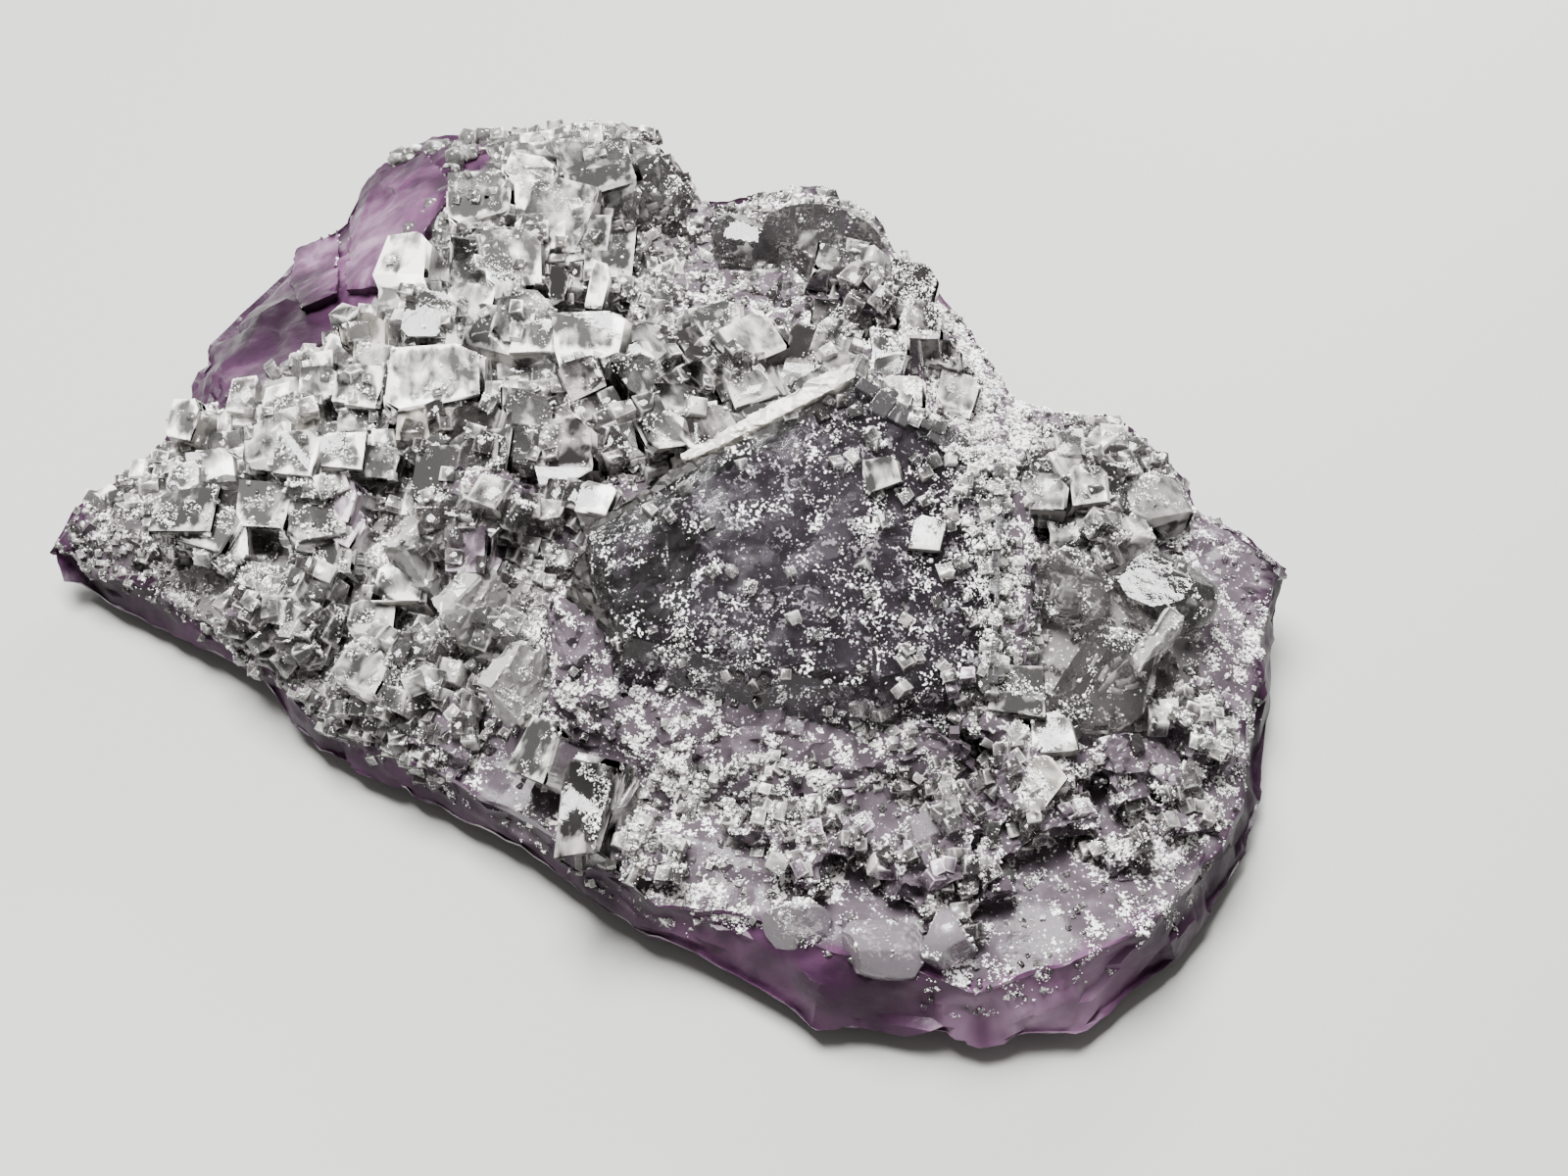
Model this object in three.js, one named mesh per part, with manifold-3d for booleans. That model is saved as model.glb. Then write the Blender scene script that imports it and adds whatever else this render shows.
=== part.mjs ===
// A fluorite crystal cluster, about 100 mm long. It is one broken piece of purple fluorite.
// Its top is a crust of small grey and white cubes around one great tilted crystal, and its
// sides and its far left flank are bare cleaved fluorite.
// Millimetres, +Z up. It rests on a flat break at z = 0, and its near side faces -Y.

import * as THREE from "three";
import { ConvexGeometry } from "three/addons/geometries/ConvexGeometry.js";
import { mergeVertices } from "three/addons/utils/BufferGeometryUtils.js";
import Module from "manifold-3d";

// Stations round the piece, clockwise seen from above, from the left tip. Each row holds the
// widest point of the side (x, y, z) and the point where the crust of cubes begins (x, y, z).
const STATIONS = [
  [-50, 0, 4, -48.3, -1.6, 6],
  [-47.3, 2.3, 7, -45.6, -0.3, 8.5],
  [-41.5, 5.8, 9, -40.1, 3, 10.5],
  [-39.5, 13, 9, -37, 8.4, 12],
  [-40.2, 23.6, 5, -35.4, 9.5, 13],
  [-38.6, 28, 4, -32.4, 11, 14],
  [-34.4, 35.2, 4, -27.3, 14, 15],
  [-30.3, 39.4, 5, -24.2, 17.9, 15.5],
  [-28.2, 41.6, 8, -22.1, 21.9, 16],
  [-25.6, 43, 10, -20.4, 25.8, 16.5],
  [-22, 44.2, 11, -17.6, 30.8, 16],
  [-16.5, 43.6, 12, -15.2, 35.9, 15],
  [-11.1, 43, 13, -10.7, 38.5, 15],
  [-5.6, 42.2, 14, -5.2, 37.6, 16],
  [-1.5, 41.1, 14, -1.8, 36.5, 16],
  [0.6, 38.3, 13, 0, 34.3, 15],
  [3.1, 34.2, 12, 2.2, 30.3, 14],
  [5.3, 34.2, 12, 5.6, 29.9, 14],
  [8.7, 33.1, 14, 8.8, 28.9, 16],
  [13.4, 32.3, 15, 13.1, 28.1, 17],
  [18.4, 30.2, 14, 17.4, 26.3, 16],
  [21.7, 25.3, 12, 20.2, 21.3, 14.5],
  [26.4, 18.5, 11, 24.9, 15.3, 13],
  [29.6, 12.8, 9, 28.3, 9.2, 11.5],
  [33.5, 11.4, 10, 32.9, 7.9, 12],
  [39.3, 8, 10, 38.1, 4.8, 12],
  [41.5, 6.8, 9, 40.1, 3.6, 11],
  [43.6, 1.7, 8, 42, -0.9, 10],
  [46.3, -1.6, 9, 45.2, -4.2, 10.5],
  [50, -5.1, 8, 48.6, -6.6, 9],
  [49.1, -7.3, 5, 47.5, -9.5, 8],
  [48.2, -13.1, 3, 46.3, -16, 8],
  [47.2, -18.9, 2, 45, -21.7, 8],
  [45.5, -26.1, 2, 43.2, -28, 8],
  [41.2, -33.8, 2, 39.6, -34.3, 8],
  [37.4, -38.3, 1.5, 34.6, -38.9, 9],
  [30.5, -43.6, 2, 29, -41.6, 9],
  [23.6, -44.2, 2, 23.3, -43.3, 8],
  [16.8, -43, 2, 17.7, -41.2, 9],
  [11.7, -43.2, 2, 13.3, -40.3, 9],
  [5.8, -39, 2, 8, -37.4, 8.5],
  [-0.1, -36.4, 3, 1.1, -36, 7.5],
  [-7.7, -30.2, 3, -6.7, -30.2, 7.5],
  [-16.1, -24.3, 2, -14.2, -25.2, 7],
  [-23.5, -20.7, 2, -19, -22.1, 7],
  [-25.8, -18.9, 2, -23.3, -19.9, 6.5],
  [-32, -12.3, 3, -30.2, -13.5, 7],
  [-40.9, -6.4, 2, -40.2, -5.6, 6],
  [-48.6, -2.3, 2, -46.8, -3, 5.5],
];

// Heights of the crust inside those stations: [x, y, z].
const SPOT_HEIGHTS = [
  [-35, 0, 12],
  [-25, 5, 14],
  [-19, 9.5, 16],
  [-28, -8, 9.5],
  [-17, -16, 10],
  [-10, -5, 17],
  [-6, 12, 17.5],
  [-11, 30, 16.5],
  [11, 21, 17.5],
  [18, 12, 17.5],
  [-1, 0, 18],
  [9, 3, 18],
  [35, 1, 13],
  [29, -14, 14.5],
  [38, -13, 13.5],
  [33, -21, 13],
  [39, -23, 10.5],
  [-8, -18, 13],
  [14, -20, 16],
  [-3, -27, 9.5],
  [5, -31, 10],
  [20, -32, 10.5],
  [27, -29, 11],
  [34, -35, 9.5],
];
const SPOT_SOFTNESS = 1;
const SPOT_FALLOFF = 1.75;

// The broken body under the crust.
const MIDDLE = [1, -2];
const BASE_SHARE = 0.9;
const LOW_WALL_SHARE = 0.96;
const LOW_WALL_HEIGHT = 0.45;
const UPPER_WALL_SHARE = 0.45;
const UPPER_WALL_HEIGHT = 0.6;
const SHARE_JITTER = 0.02;
const CRUST_RINGS = [0.85, 0.68, 0.5, 0.32, 0.15];
const CRUST_DEPTH = 1;
const WALL_ROUGHNESS = 0.5;
const TOP_ROUGHNESS = 0.7;
const BODY_SEED = 5;

// The great crystal: its tilted top face, and the foot that it stands on inside the body.
const GREAT_TOP = [
  [-4, -14.1, 22],
  [5.7, -7.8, 24],
  [15, -1.8, 26],
  [22.6, -4.9, 23],
  [25.9, -6, 21],
  [24.9, -23.1, 16],
  [14.8, -23.9, 17],
  [-1, -21, 19],
];
const GREAT_FOOT = [
  [-6, -13, 9],
  [3.5, -4, 9],
  [14.5, 1.5, 9],
  [24, -2, 9],
  [29, -8, 9],
  [27.5, -25, 9],
  [14, -26, 9],
  [-3, -23, 9],
];
// A thin cleavage blade stands along its highest edge, on a broader root.
const RIDGE_BLADE = [
  [2.2, -8, 24],
  [7.6, -5.2, 25.4],
  [13.4, -1.9, 26.9],
  [15.2, -1.4, 27],
  [15.6, -2.6, 26.5],
  [13.2, -4.1, 26.2],
  [8.3, -6.4, 25],
  [2.9, -8.8, 23.8],
  [3.2, -8.8, 21],
  [15, -2, 23],
  [9, -4, 22],
];
const BLADE_ROOT = [
  [-4.4, -13.2, 22],
  [-1.3, -11.2, 22.8],
  [2.6, -8.4, 23.8],
  [8, -6.3, 24.6],
  [8.4, -7.2, 24.3],
  [3.1, -10.3, 22.9],
  [-1.3, -13.2, 21.8],
  [-4.2, -14.9, 21.2],
  [-4, -13, 18],
  [8, -6, 21],
];
// Its left end is broken off rough.
const BROKEN_END = [
  [-5, -13.4, 20],
  [-1.5, -12.6, 22.4],
  [3.4, -10.6, 23],
  [4.4, -14, 22],
  [2.8, -19.6, 19.6],
  [-1.6, -21, 18.4],
  [-6.2, -15.6, 17.2],
  [-7, -14.4, 12],
  [-2, -22, 12],
  [4, -18, 14],
  [3, -10, 16],
];
// A lower growth step runs round its right side.
const RIGHT_STEP = [
  [16, 0.6, 23.4],
  [23.6, -2.6, 21],
  [28, -5.6, 19],
  [28.6, -12, 17.4],
  [27, -25, 14.2],
  [22, -26, 14.4],
  [17, 2, 12],
  [29.8, -4.6, 11],
  [30.6, -14, 10],
  [28, -27, 9],
];
// The dark sugared slope on its near side.
const NEAR_SLOPE = [
  [-7.4, -14.9, 17],
  [-1, -18.6, 18.6],
  [15.6, -22.3, 15.4],
  [24, -26, 13],
  [15.6, -27.6, 12],
  [3, -28, 11],
  [-7, -20.8, 13],
  [-8.6, -14, 8],
  [-8, -22.4, 7],
  [3, -30, 7],
  [16.5, -29.5, 7],
  [25, -27.5, 8],
];
// A cleaved slab at the near left edge.
const NEAR_LEFT_SLAB = [
  [-23.6, -18.4, 7.4],
  [-19, -21.4, 7.6],
  [-12.4, -24.2, 8.4],
  [-12.6, -19.6, 10.2],
  [-22.6, -15.6, 9.2],
  [-24, -18.8, 3],
  [-14.4, -25, 3],
  [-11, -18, 4],
  [-22, -14, 4],
];
// Two cleavage plates lie on the bare violet flank at the far left.
const BRIGHT_PLATE = [
  [-27.3, 39.3, 10],
  [-21.7, 39.4, 13.5],
  [-17.7, 30.1, 16.8],
  [-20.3, 23.1, 17],
  [-23.3, 17.6, 16.6],
  [-26.7, 20, 14],
  [-29.1, 34.6, 8.6],
  [-22, 36, 6],
  [-20, 20, 6],
];
const LILAC_PLATE = [
  [-33.4, 27, 8.4],
  [-33.9, 34, 6.4],
  [-29.2, 34.1, 8.6],
  [-27, 19.9, 14],
  [-30.6, 19, 12.8],
  [-30, 30, 3],
  [-28, 22, 5],
];

// A small open hollow in the far crust, in which thin blades stand.
const FAR_HOLLOW = { at: [-6.2, 16.2, 18.4], edges: [6.6, 5.4, 6], turn: [14, 0, 4] };

// Clear rounded lumps: middle [x, y, z], radii [x, y, z] and turn in degrees.
const LUMPS = [
  { at: [30.6, -12.6, 13.6], radii: [3.9, 3.6, 3.4], spin: 20 },
  { at: [38.2, -11.8, 12.8], radii: [4.6, 3.8, 3.2], spin: -15 },
  { at: [33.6, -19.6, 12], radii: [5.2, 4, 3.6], spin: 35 },
  { at: [-1.6, 31.4, 13], radii: [4.6, 5.4, 4.8], spin: 10 },
  { at: [12.6, 23.6, 14.4], radii: [6.4, 4.6, 4.6], spin: -8 },
  { at: [6.6, 24.6, 13.6], radii: [3.4, 4.2, 3.8], spin: 40 },
  { at: [-34.6, -1.6, 10.6], radii: [4.2, 2.8, 3.2], spin: 12 },
];
const LUMP_UNEVENNESS = 0.09;
const LUMP_DETAIL = 1;
const LUMP_SEED = 40;

// Single crystals with a place and a turn of their own: middle [x, y, z], edges [x, y, z],
// and tilt towards the near side, lean and spin in degrees.
const SINGLE_CRYSTALS = [
  { at: [-11, 28.5, 16.2], edges: [3.2, 3.6, 4], turn: [14, 4, 3] },
  { at: [-5.3, 9.8, 17.2], edges: [5.6, 3.2, 4], turn: [16, 0, 2] },
  { at: [-15.4, 15.6, 15.4], edges: [3.4, 3.4, 4], turn: [18, 3, -5] },
  { at: [-17.2, 7, 15.4], edges: [6.6, 5.4, 5.4], turn: [22, -3, 4] },
  { at: [-26.8, 8.2, 13.8], edges: [2.8, 3.2, 4], turn: [20, -4, 6] },
  { at: [-23.3, 7.4, 14], edges: [3.6, 3.2, 4.2], turn: [18, 2, -3] },
  { at: [-27.7, 4.6, 13.4], edges: [3.2, 2.8, 4], turn: [24, -6, 2] },
  { at: [-27.4, 1.2, 12.8], edges: [3.2, 3.4, 4.2], turn: [22, -5, -4] },
  { at: [-24.2, 1.2, 13.2], edges: [3.2, 3, 4.2], turn: [20, 0, 5] },
  { at: [-37, 6.6, 11], edges: [2.4, 3.6, 3.6], turn: [14, -16, -12] },
  { at: [0.4, -1.2, 17.8], edges: [3.4, 3, 4], turn: [16, 6, 24] },
  { at: [7.2, 3, 17.6], edges: [3.2, 2.4, 4], turn: [12, 4, 30] },
  { at: [-3.5, -7.2, 16.4], edges: [2.6, 2.4, 4.4], turn: [10, -4, -18] },
  { at: [-3, -28.6, 9], edges: [3.4, 7.4, 5], turn: [26, -8, -14] },
  { at: [-7, -24.8, 9.2], edges: [2.8, 4.2, 4], turn: [20, -10, -24] },
  { at: [11.3, -37.6, 8.2], edges: [4.2, 3.2, 4], turn: [18, 6, 16] },
  { at: [17, -39.2, 8], edges: [6.4, 3.6, 4], turn: [20, 4, -8] },
  { at: [21.4, -39.6, 8.2], edges: [3.8, 3.4, 4.4], turn: [24, 10, 20] },
  { at: [27.6, -28.8, 10.8], edges: [2.8, 2.8, 3.6], turn: [10, 4, 45] },
  { at: [19.6, -32, 10.4], edges: [4, 3, 3.6], turn: [14, -12, 12] },
  { at: [26.6, -22.2, 12.2], edges: [3.6, 3.4, 4.4], turn: [12, 2, -6] },
  { at: [28.9, -25, 11.2], edges: [2.8, 2.8, 3.8], turn: [14, 0, 8] },
  { at: [29.8, -2.6, 12.4], edges: [3.4, 3, 4.2], turn: [16, 0, -10] },
  { at: [33, -2, 12.2], edges: [2.8, 3.2, 4], turn: [12, 6, 6] },
  { at: [16.7, -8.6, 21.6], edges: [2.4, 2.2, 3], turn: [26, 0, 18] },
  { at: [20.2, -12.6, 19.6], edges: [2.2, 2.4, 3], turn: [26, 4, -12] },
  { at: [-16.6, -8.6, 12.6], edges: [2.2, 4.6, 5.4], turn: [8, -24, -30] },
  { at: [-12.2, -13, 12], edges: [2, 6.2, 5.4], turn: [10, -20, -36] },
  { at: [-8.9, -19.6, 12.2], edges: [1.8, 5, 4.6], turn: [12, -16, -30] },
  { at: [36.8, -17.4, 13], edges: [1.8, 5.6, 5.2], turn: [6, 14, -42] },
  { at: [-5.2, 16.6, 15.4], edges: [1.4, 4, 5.4], turn: [12, 6, -8] },
  { at: [-7.8, 16.4, 15.2], edges: [1.4, 3.8, 5], turn: [12, -4, -4] },
];

// Fields of small crystals: middle [x, y], reach [x, y], turn in degrees, range of the edge
// length, how many places are tried, and the seed of the field's draws.
const CRYSTAL_FIELDS = [
  { middle: [-15, 17], reach: [12, 16], turn: [16, 0, 0], edge: [3.2, 5.2], count: 38, seed: 11 },
  { middle: [-12, 33], reach: [9, 6], turn: [12, 0, 6], edge: [3, 4.6], count: 16, seed: 12 },
  { middle: [-31, 2], reach: [10, 7], turn: [18, -6, 0], edge: [2.8, 4.4], count: 20, seed: 13 },
  { middle: [5, 6], reach: [11, 7], turn: [14, 4, 28], edge: [2.8, 4], count: 23, seed: 14 },
  { middle: [17, 15], reach: [9, 11], turn: [8, 6, -14], edge: [2.8, 4.2], count: 22, seed: 15 },
  { middle: [36, 0], reach: [8, 6], turn: [10, 6, 12], edge: [2.8, 4.2], count: 14, seed: 16 },
  { middle: [42, -18], reach: [5, 13], turn: [4, 12, -8], edge: [2.6, 3.6], count: 15, seed: 17 },
  { middle: [29, -32], reach: [13, 9], turn: [12, 8, 22], edge: [2.6, 4], count: 26, seed: 18 },
  { middle: [6, -33], reach: [9, 5], turn: [18, 0, -10], edge: [2.6, 3.8], count: 14, seed: 19 },
  { middle: [-25, -10], reach: [17, 9], turn: [14, -10, -18], edge: [2.8, 4], count: 28, seed: 20 },
  { middle: [-11, -4], reach: [6, 6], turn: [14, -4, -12], edge: [3, 4.6], count: 12, seed: 21 },
];
const EDGE_VARIATION = [0.85, 1.2];
const FIELD_SPREAD = [9, 9, 12];
const EDGE_MARGIN = 2.2;
const HOLLOW_CLEARANCE = 4.6;
const LIFT_RANGE = [-0.18, 0.16];
// Corners nearer than this are one corner.
const MERGE_DISTANCE = 1e-4;

const CRYSTAL_COLOUR = 0x6b5f78;
const CRYSTAL_ROUGHNESS = 0.35;

const wasm = await Module();
wasm.setup();

const radians = THREE.MathUtils.degToRad;
const lerp = THREE.MathUtils.lerp;

// Even draws from 0 to 1 that come out the same each time for one seed. Each draw steps the
// state and then mixes its bits by shifts and products.
const STATE_STEP = 0x6d2b79f5;
const STATE_COUNT = 2 ** 32;

function seeded(seed) {
  let state = seed >>> 0;
  return () => {
    state = (state + STATE_STEP) >>> 0;
    let mixed = Math.imul(state ^ (state >>> 15), state | 1);
    mixed = (mixed + Math.imul(mixed ^ (mixed >>> 7), mixed | 61)) ^ mixed;
    return ((mixed ^ (mixed >>> 14)) >>> 0) / STATE_COUNT;
  };
}

// The crust's height at a place: the spot heights and the crust's border, weighted by nearness.
const HEIGHT_POINTS = [...SPOT_HEIGHTS, ...STATIONS.map((row) => row.slice(3))];

function crustHeight(x, y) {
  let total = 0;
  let weights = 0;
  for (const [px, py, pz] of HEIGHT_POINTS) {
    const weight = ((px - x) ** 2 + (py - y) ** 2 + SPOT_SOFTNESS) ** -SPOT_FALLOFF;
    total += weight * pz;
    weights += weight;
  }
  return total / weights;
}

// True where a place lies inside the crust's border and at least a margin away from it.
function insideCrust(x, y, margin) {
  let inside = false;
  let nearest = Infinity;
  STATIONS.forEach((row, index) => {
    const [ax, ay] = row.slice(3);
    const [bx, by] = STATIONS[(index + 1) % STATIONS.length].slice(3);
    if ((ay > y) !== (by > y) && x < ax + ((bx - ax) * (y - ay)) / (by - ay)) {
      inside = !inside;
    }
    const length = (bx - ax) ** 2 + (by - ay) ** 2;
    const along = THREE.MathUtils.clamp(((x - ax) * (bx - ax) + (y - ay) * (by - ay)) / length, 0, 1);
    nearest = Math.min(nearest, Math.hypot(ax + along * (bx - ax) - x, ay + along * (by - ay) - y));
  });
  return inside && nearest > margin;
}

// A geometry whose faces share their corners.
function welded(geometry) {
  geometry.deleteAttribute("normal");
  geometry.deleteAttribute("uv");
  return mergeVertices(geometry, MERGE_DISTANCE);
}

// A closed solid from a geometry.
function solid(geometry) {
  const shell = welded(geometry);
  const mesh = new wasm.Mesh({
    numProp: 3,
    vertProperties: new Float32Array(shell.attributes.position.array),
    triVerts: new Uint32Array(shell.index.array),
  });
  return new wasm.Manifold(mesh);
}

// The body: rings from the flat base up the broken side and in over the top, closed at both ends.
function brokenBody() {
  const draw = seeded(BODY_SEED);
  const jitter = (size) => (2 * draw() - 1) * size;
  const rows = STATIONS.toReversed();
  const towards = (share, x, y) => [lerp(MIDDLE[0], x, share), lerp(MIDDLE[1], y, share)];
  const rings = [];
  rings.push(rows.map(([x, y]) => [...towards(BASE_SHARE + jitter(SHARE_JITTER), x, y), 0]));
  rings.push(rows.map(([x, y, z]) => {
    const share = LOW_WALL_SHARE + jitter(SHARE_JITTER);
    return [...towards(share, x, y), z * LOW_WALL_HEIGHT];
  }));
  rings.push(rows.map(([x, y, z]) => [x, y, z]));
  rings.push(rows.map(([x, y, z, crustX, crustY, crustZ]) => {
    const share = 1 - SHARE_JITTER * draw();
    const place = towards(share, lerp(x, crustX, UPPER_WALL_SHARE), lerp(y, crustY, UPPER_WALL_SHARE));
    return [...place, lerp(z, crustZ, UPPER_WALL_HEIGHT) + jitter(WALL_ROUGHNESS)];
  }));
  rings.push(rows.map((row) => [row[3], row[4], row[5] - CRUST_DEPTH / 2]));
  for (const share of CRUST_RINGS) {
    rings.push(rows.map((row) => {
      const [x, y] = towards(share + jitter(SHARE_JITTER), row[3], row[4]);
      return [x, y, crustHeight(x, y) - CRUST_DEPTH + jitter(TOP_ROUGHNESS)];
    }));
  }
  const positions = [MIDDLE[0], MIDDLE[1], 0, ...rings.flat(2)];
  positions.push(MIDDLE[0], MIDDLE[1], crustHeight(...MIDDLE) - CRUST_DEPTH);
  const around = rows.length;
  const last = rings.length * around + 1;
  const indices = [];
  for (let i = 0; i < around; i += 1) {
    const next = (i + 1) % around;
    indices.push(0, 1 + next, 1 + i);
    for (let ring = 0; ring < rings.length - 1; ring += 1) {
      const low = 1 + ring * around;
      const high = low + around;
      indices.push(low + i, low + next, high + next);
      indices.push(low + i, high + next, high + i);
    }
    const top = last - around;
    indices.push(top + i, top + next, last);
  }
  const geometry = new THREE.BufferGeometry();
  geometry.setAttribute("position", new THREE.Float32BufferAttribute(positions, 3));
  geometry.setIndex(indices);
  return solid(geometry);
}

// A block with flat faces round a few corner points.
function block(points) {
  return solid(new ConvexGeometry(points.map((point) => new THREE.Vector3(...point))));
}

// One crystal with square edges, turned about its middle.
function crystal({ at, edges, turn }) {
  const geometry = new THREE.BoxGeometry(...edges);
  const euler = new THREE.Euler(...turn.map(radians), "ZYX");
  geometry.applyMatrix4(new THREE.Matrix4().makeRotationFromEuler(euler));
  geometry.translate(...at);
  return solid(geometry);
}

// A rounded lump with uneven facets.
function lump({ at, radii, spin }, index) {
  const draw = seeded(LUMP_SEED + index);
  const corners = welded(new THREE.IcosahedronGeometry(1, LUMP_DETAIL)).attributes.position;
  const points = [];
  for (let i = 0; i < corners.count; i += 1) {
    const point = new THREE.Vector3().fromBufferAttribute(corners, i);
    points.push(point.multiplyScalar(1 + (2 * draw() - 1) * LUMP_UNEVENNESS));
  }
  const rounded = new ConvexGeometry(points);
  rounded.scale(...radii);
  rounded.rotateZ(radians(spin));
  rounded.translate(...at);
  return solid(rounded);
}

// The small crystals of one field, half sunk in the crust.
function fieldCrystals({ middle, reach, turn, edge, count, seed }) {
  const draw = seeded(seed);
  const crystals = [];
  for (let i = 0; i < count; i += 1) {
    const angle = draw() * 2 * Math.PI;
    const distance = Math.sqrt(draw());
    const x = middle[0] + Math.cos(angle) * distance * reach[0];
    const y = middle[1] + Math.sin(angle) * distance * reach[1];
    const size = lerp(edge[0], edge[1], draw() ** 2);
    const edges = [0, 1, 2].map(() => size * lerp(EDGE_VARIATION[0], EDGE_VARIATION[1], draw()));
    const turned = turn.map((degrees, axis) => degrees + (2 * draw() - 1) * FIELD_SPREAD[axis]);
    const lift = size * lerp(LIFT_RANGE[0], LIFT_RANGE[1], draw());
    const fromHollow = Math.hypot(x - FAR_HOLLOW.at[0], y - FAR_HOLLOW.at[1]);
    if (insideCrust(x, y, EDGE_MARGIN) && fromHollow > HOLLOW_CLEARANCE) {
      const z = crustHeight(x, y) - CRUST_DEPTH + lift;
      crystals.push(crystal({ at: [x, y, z], edges, turn: turned }));
    }
  }
  return crystals;
}

// The outer skin alone: a pocket shut in between crystals is filled.
function outerSkin(manifold) {
  const mesh = manifold.getMesh();
  const faces = mesh.triVerts.length / 3;
  const owner = Array.from({ length: mesh.vertProperties.length / mesh.numProp }, (_, i) => i);
  const root = (i) => {
    while (owner[i] !== i) {
      owner[i] = owner[owner[i]];
      i = owner[i];
    }
    return i;
  };
  for (let face = 0; face < faces; face += 1) {
    const [a, b, c] = mesh.triVerts.subarray(3 * face, 3 * face + 3);
    owner[root(b)] = root(a);
    owner[root(c)] = root(a);
  }
  const counts = new Map();
  for (let face = 0; face < faces; face += 1) {
    const key = root(mesh.triVerts[3 * face]);
    counts.set(key, (counts.get(key) ?? 0) + 1);
  }
  const largest = [...counts].reduce((best, entry) => (entry[1] > best[1] ? entry : best))[0];
  const kept = [];
  for (let face = 0; face < faces; face += 1) {
    if (root(mesh.triVerts[3 * face]) === largest) {
      kept.push(...mesh.triVerts.subarray(3 * face, 3 * face + 3));
    }
  }
  const geometry = new THREE.BufferGeometry();
  const positions = [];
  for (let i = 0; i < mesh.vertProperties.length; i += mesh.numProp) {
    positions.push(...mesh.vertProperties.subarray(i, i + 3));
  }
  geometry.setAttribute("position", new THREE.Float32BufferAttribute(positions, 3));
  geometry.setIndex(kept);
  return geometry;
}

function clusterGeometry() {
  const greatCrystal = [...GREAT_TOP, ...GREAT_FOOT];
  const ridge = [RIDGE_BLADE, BLADE_ROOT, BROKEN_END];
  const steps = [RIGHT_STEP, NEAR_SLOPE, NEAR_LEFT_SLAB];
  const blocks = [greatCrystal, ...ridge, ...steps, BRIGHT_PLATE, LILAC_PLATE].map(block);
  const lumps = LUMPS.map(lump);
  const singles = SINGLE_CRYSTALS.map(crystal);
  const fields = CRYSTAL_FIELDS.flatMap(fieldCrystals);
  let cluster = brokenBody().subtract(crystal(FAR_HOLLOW));
  for (const piece of [...blocks, ...lumps, ...singles, ...fields]) {
    cluster = cluster.add(piece);
  }
  const geometry = outerSkin(cluster).toNonIndexed();
  geometry.computeVertexNormals();
  return geometry;
}

const fluorite = new THREE.MeshStandardMaterial({
  color: CRYSTAL_COLOUR,
  roughness: CRYSTAL_ROUGHNESS,
  metalness: 0,
});
const cluster = new THREE.Mesh(clusterGeometry(), fluorite);
cluster.name = "fluorite_cluster";

const group = new THREE.Group();
group.add(cluster);
export default group;
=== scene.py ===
# %% [markdown]
# # A fluorite crystal cluster
# The real thing is a broken piece of purple fluorite about 100 mm long. Its top is a crust of
# small cubes, clear, grey and milky, dusted with white sugar-fine crystals, round one great
# tilted crystal. Its sides and its far left flank are bare, glassy and violet.
# It could be sculpted as one skin, but then no cube would be clear. So this lesson lays it up
# as nature did: a dark violet body, large clear crystals on it, small cubes between them, and
# white grains last.

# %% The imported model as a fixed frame
import math
import bpy
import numpy as np
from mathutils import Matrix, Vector, noise
from mathutils.bvhtree import BVHTree


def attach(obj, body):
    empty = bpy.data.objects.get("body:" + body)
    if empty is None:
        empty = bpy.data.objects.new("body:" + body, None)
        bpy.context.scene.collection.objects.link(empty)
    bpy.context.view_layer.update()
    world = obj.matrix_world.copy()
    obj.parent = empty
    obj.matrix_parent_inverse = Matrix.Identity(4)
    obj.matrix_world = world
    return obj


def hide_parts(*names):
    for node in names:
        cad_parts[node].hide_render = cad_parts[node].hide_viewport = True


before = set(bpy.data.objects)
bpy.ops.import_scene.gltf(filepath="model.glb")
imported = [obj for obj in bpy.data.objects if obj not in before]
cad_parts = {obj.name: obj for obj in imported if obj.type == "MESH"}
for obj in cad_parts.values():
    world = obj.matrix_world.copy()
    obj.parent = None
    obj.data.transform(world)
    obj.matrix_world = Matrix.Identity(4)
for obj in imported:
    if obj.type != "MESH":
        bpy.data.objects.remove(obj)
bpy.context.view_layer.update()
bpy.ops.object.select_all(action="DESELECT")
MM = 0.001

# %% [markdown]
# ## The view, the table and the light
# The photograph looks down at about 50 degrees from close by. The camera comes first, because
# everything after it is judged through it. The table is plain and pale. One broad soft light
# overhead gives every upward face of a cube its glint, and a lower one behind lights the edges.

# %% Camera
LOOK_AT = Vector((10, -9, 10)) * MM
VIEW_DISTANCE = 180 * MM
VIEW_ELEVATION = math.radians(50)
LENS = 54
SENSOR = 36
NEAREST_SEEN = 10 * MM

camera_data = bpy.data.cameras.new("view")
camera_data.lens = LENS
camera_data.sensor_width = SENSOR
camera_data.clip_start = NEAREST_SEEN
camera = bpy.data.objects.new("view", camera_data)
bpy.context.collection.objects.link(camera)
backwards = Vector((0, -math.cos(VIEW_ELEVATION), math.sin(VIEW_ELEVATION)))
camera.location = LOOK_AT + VIEW_DISTANCE * backwards
camera.rotation_euler = (math.pi / 2 - VIEW_ELEVATION, 0, 0)
bpy.context.scene.camera = camera
print("camera at mm", [round(value / MM, 1) for value in camera.location])


# %% Finish helpers
FLUORITE_IOR = 1.434
DUST_GRAIN = 0.25
DUST_CLUMP = 2.2


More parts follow.
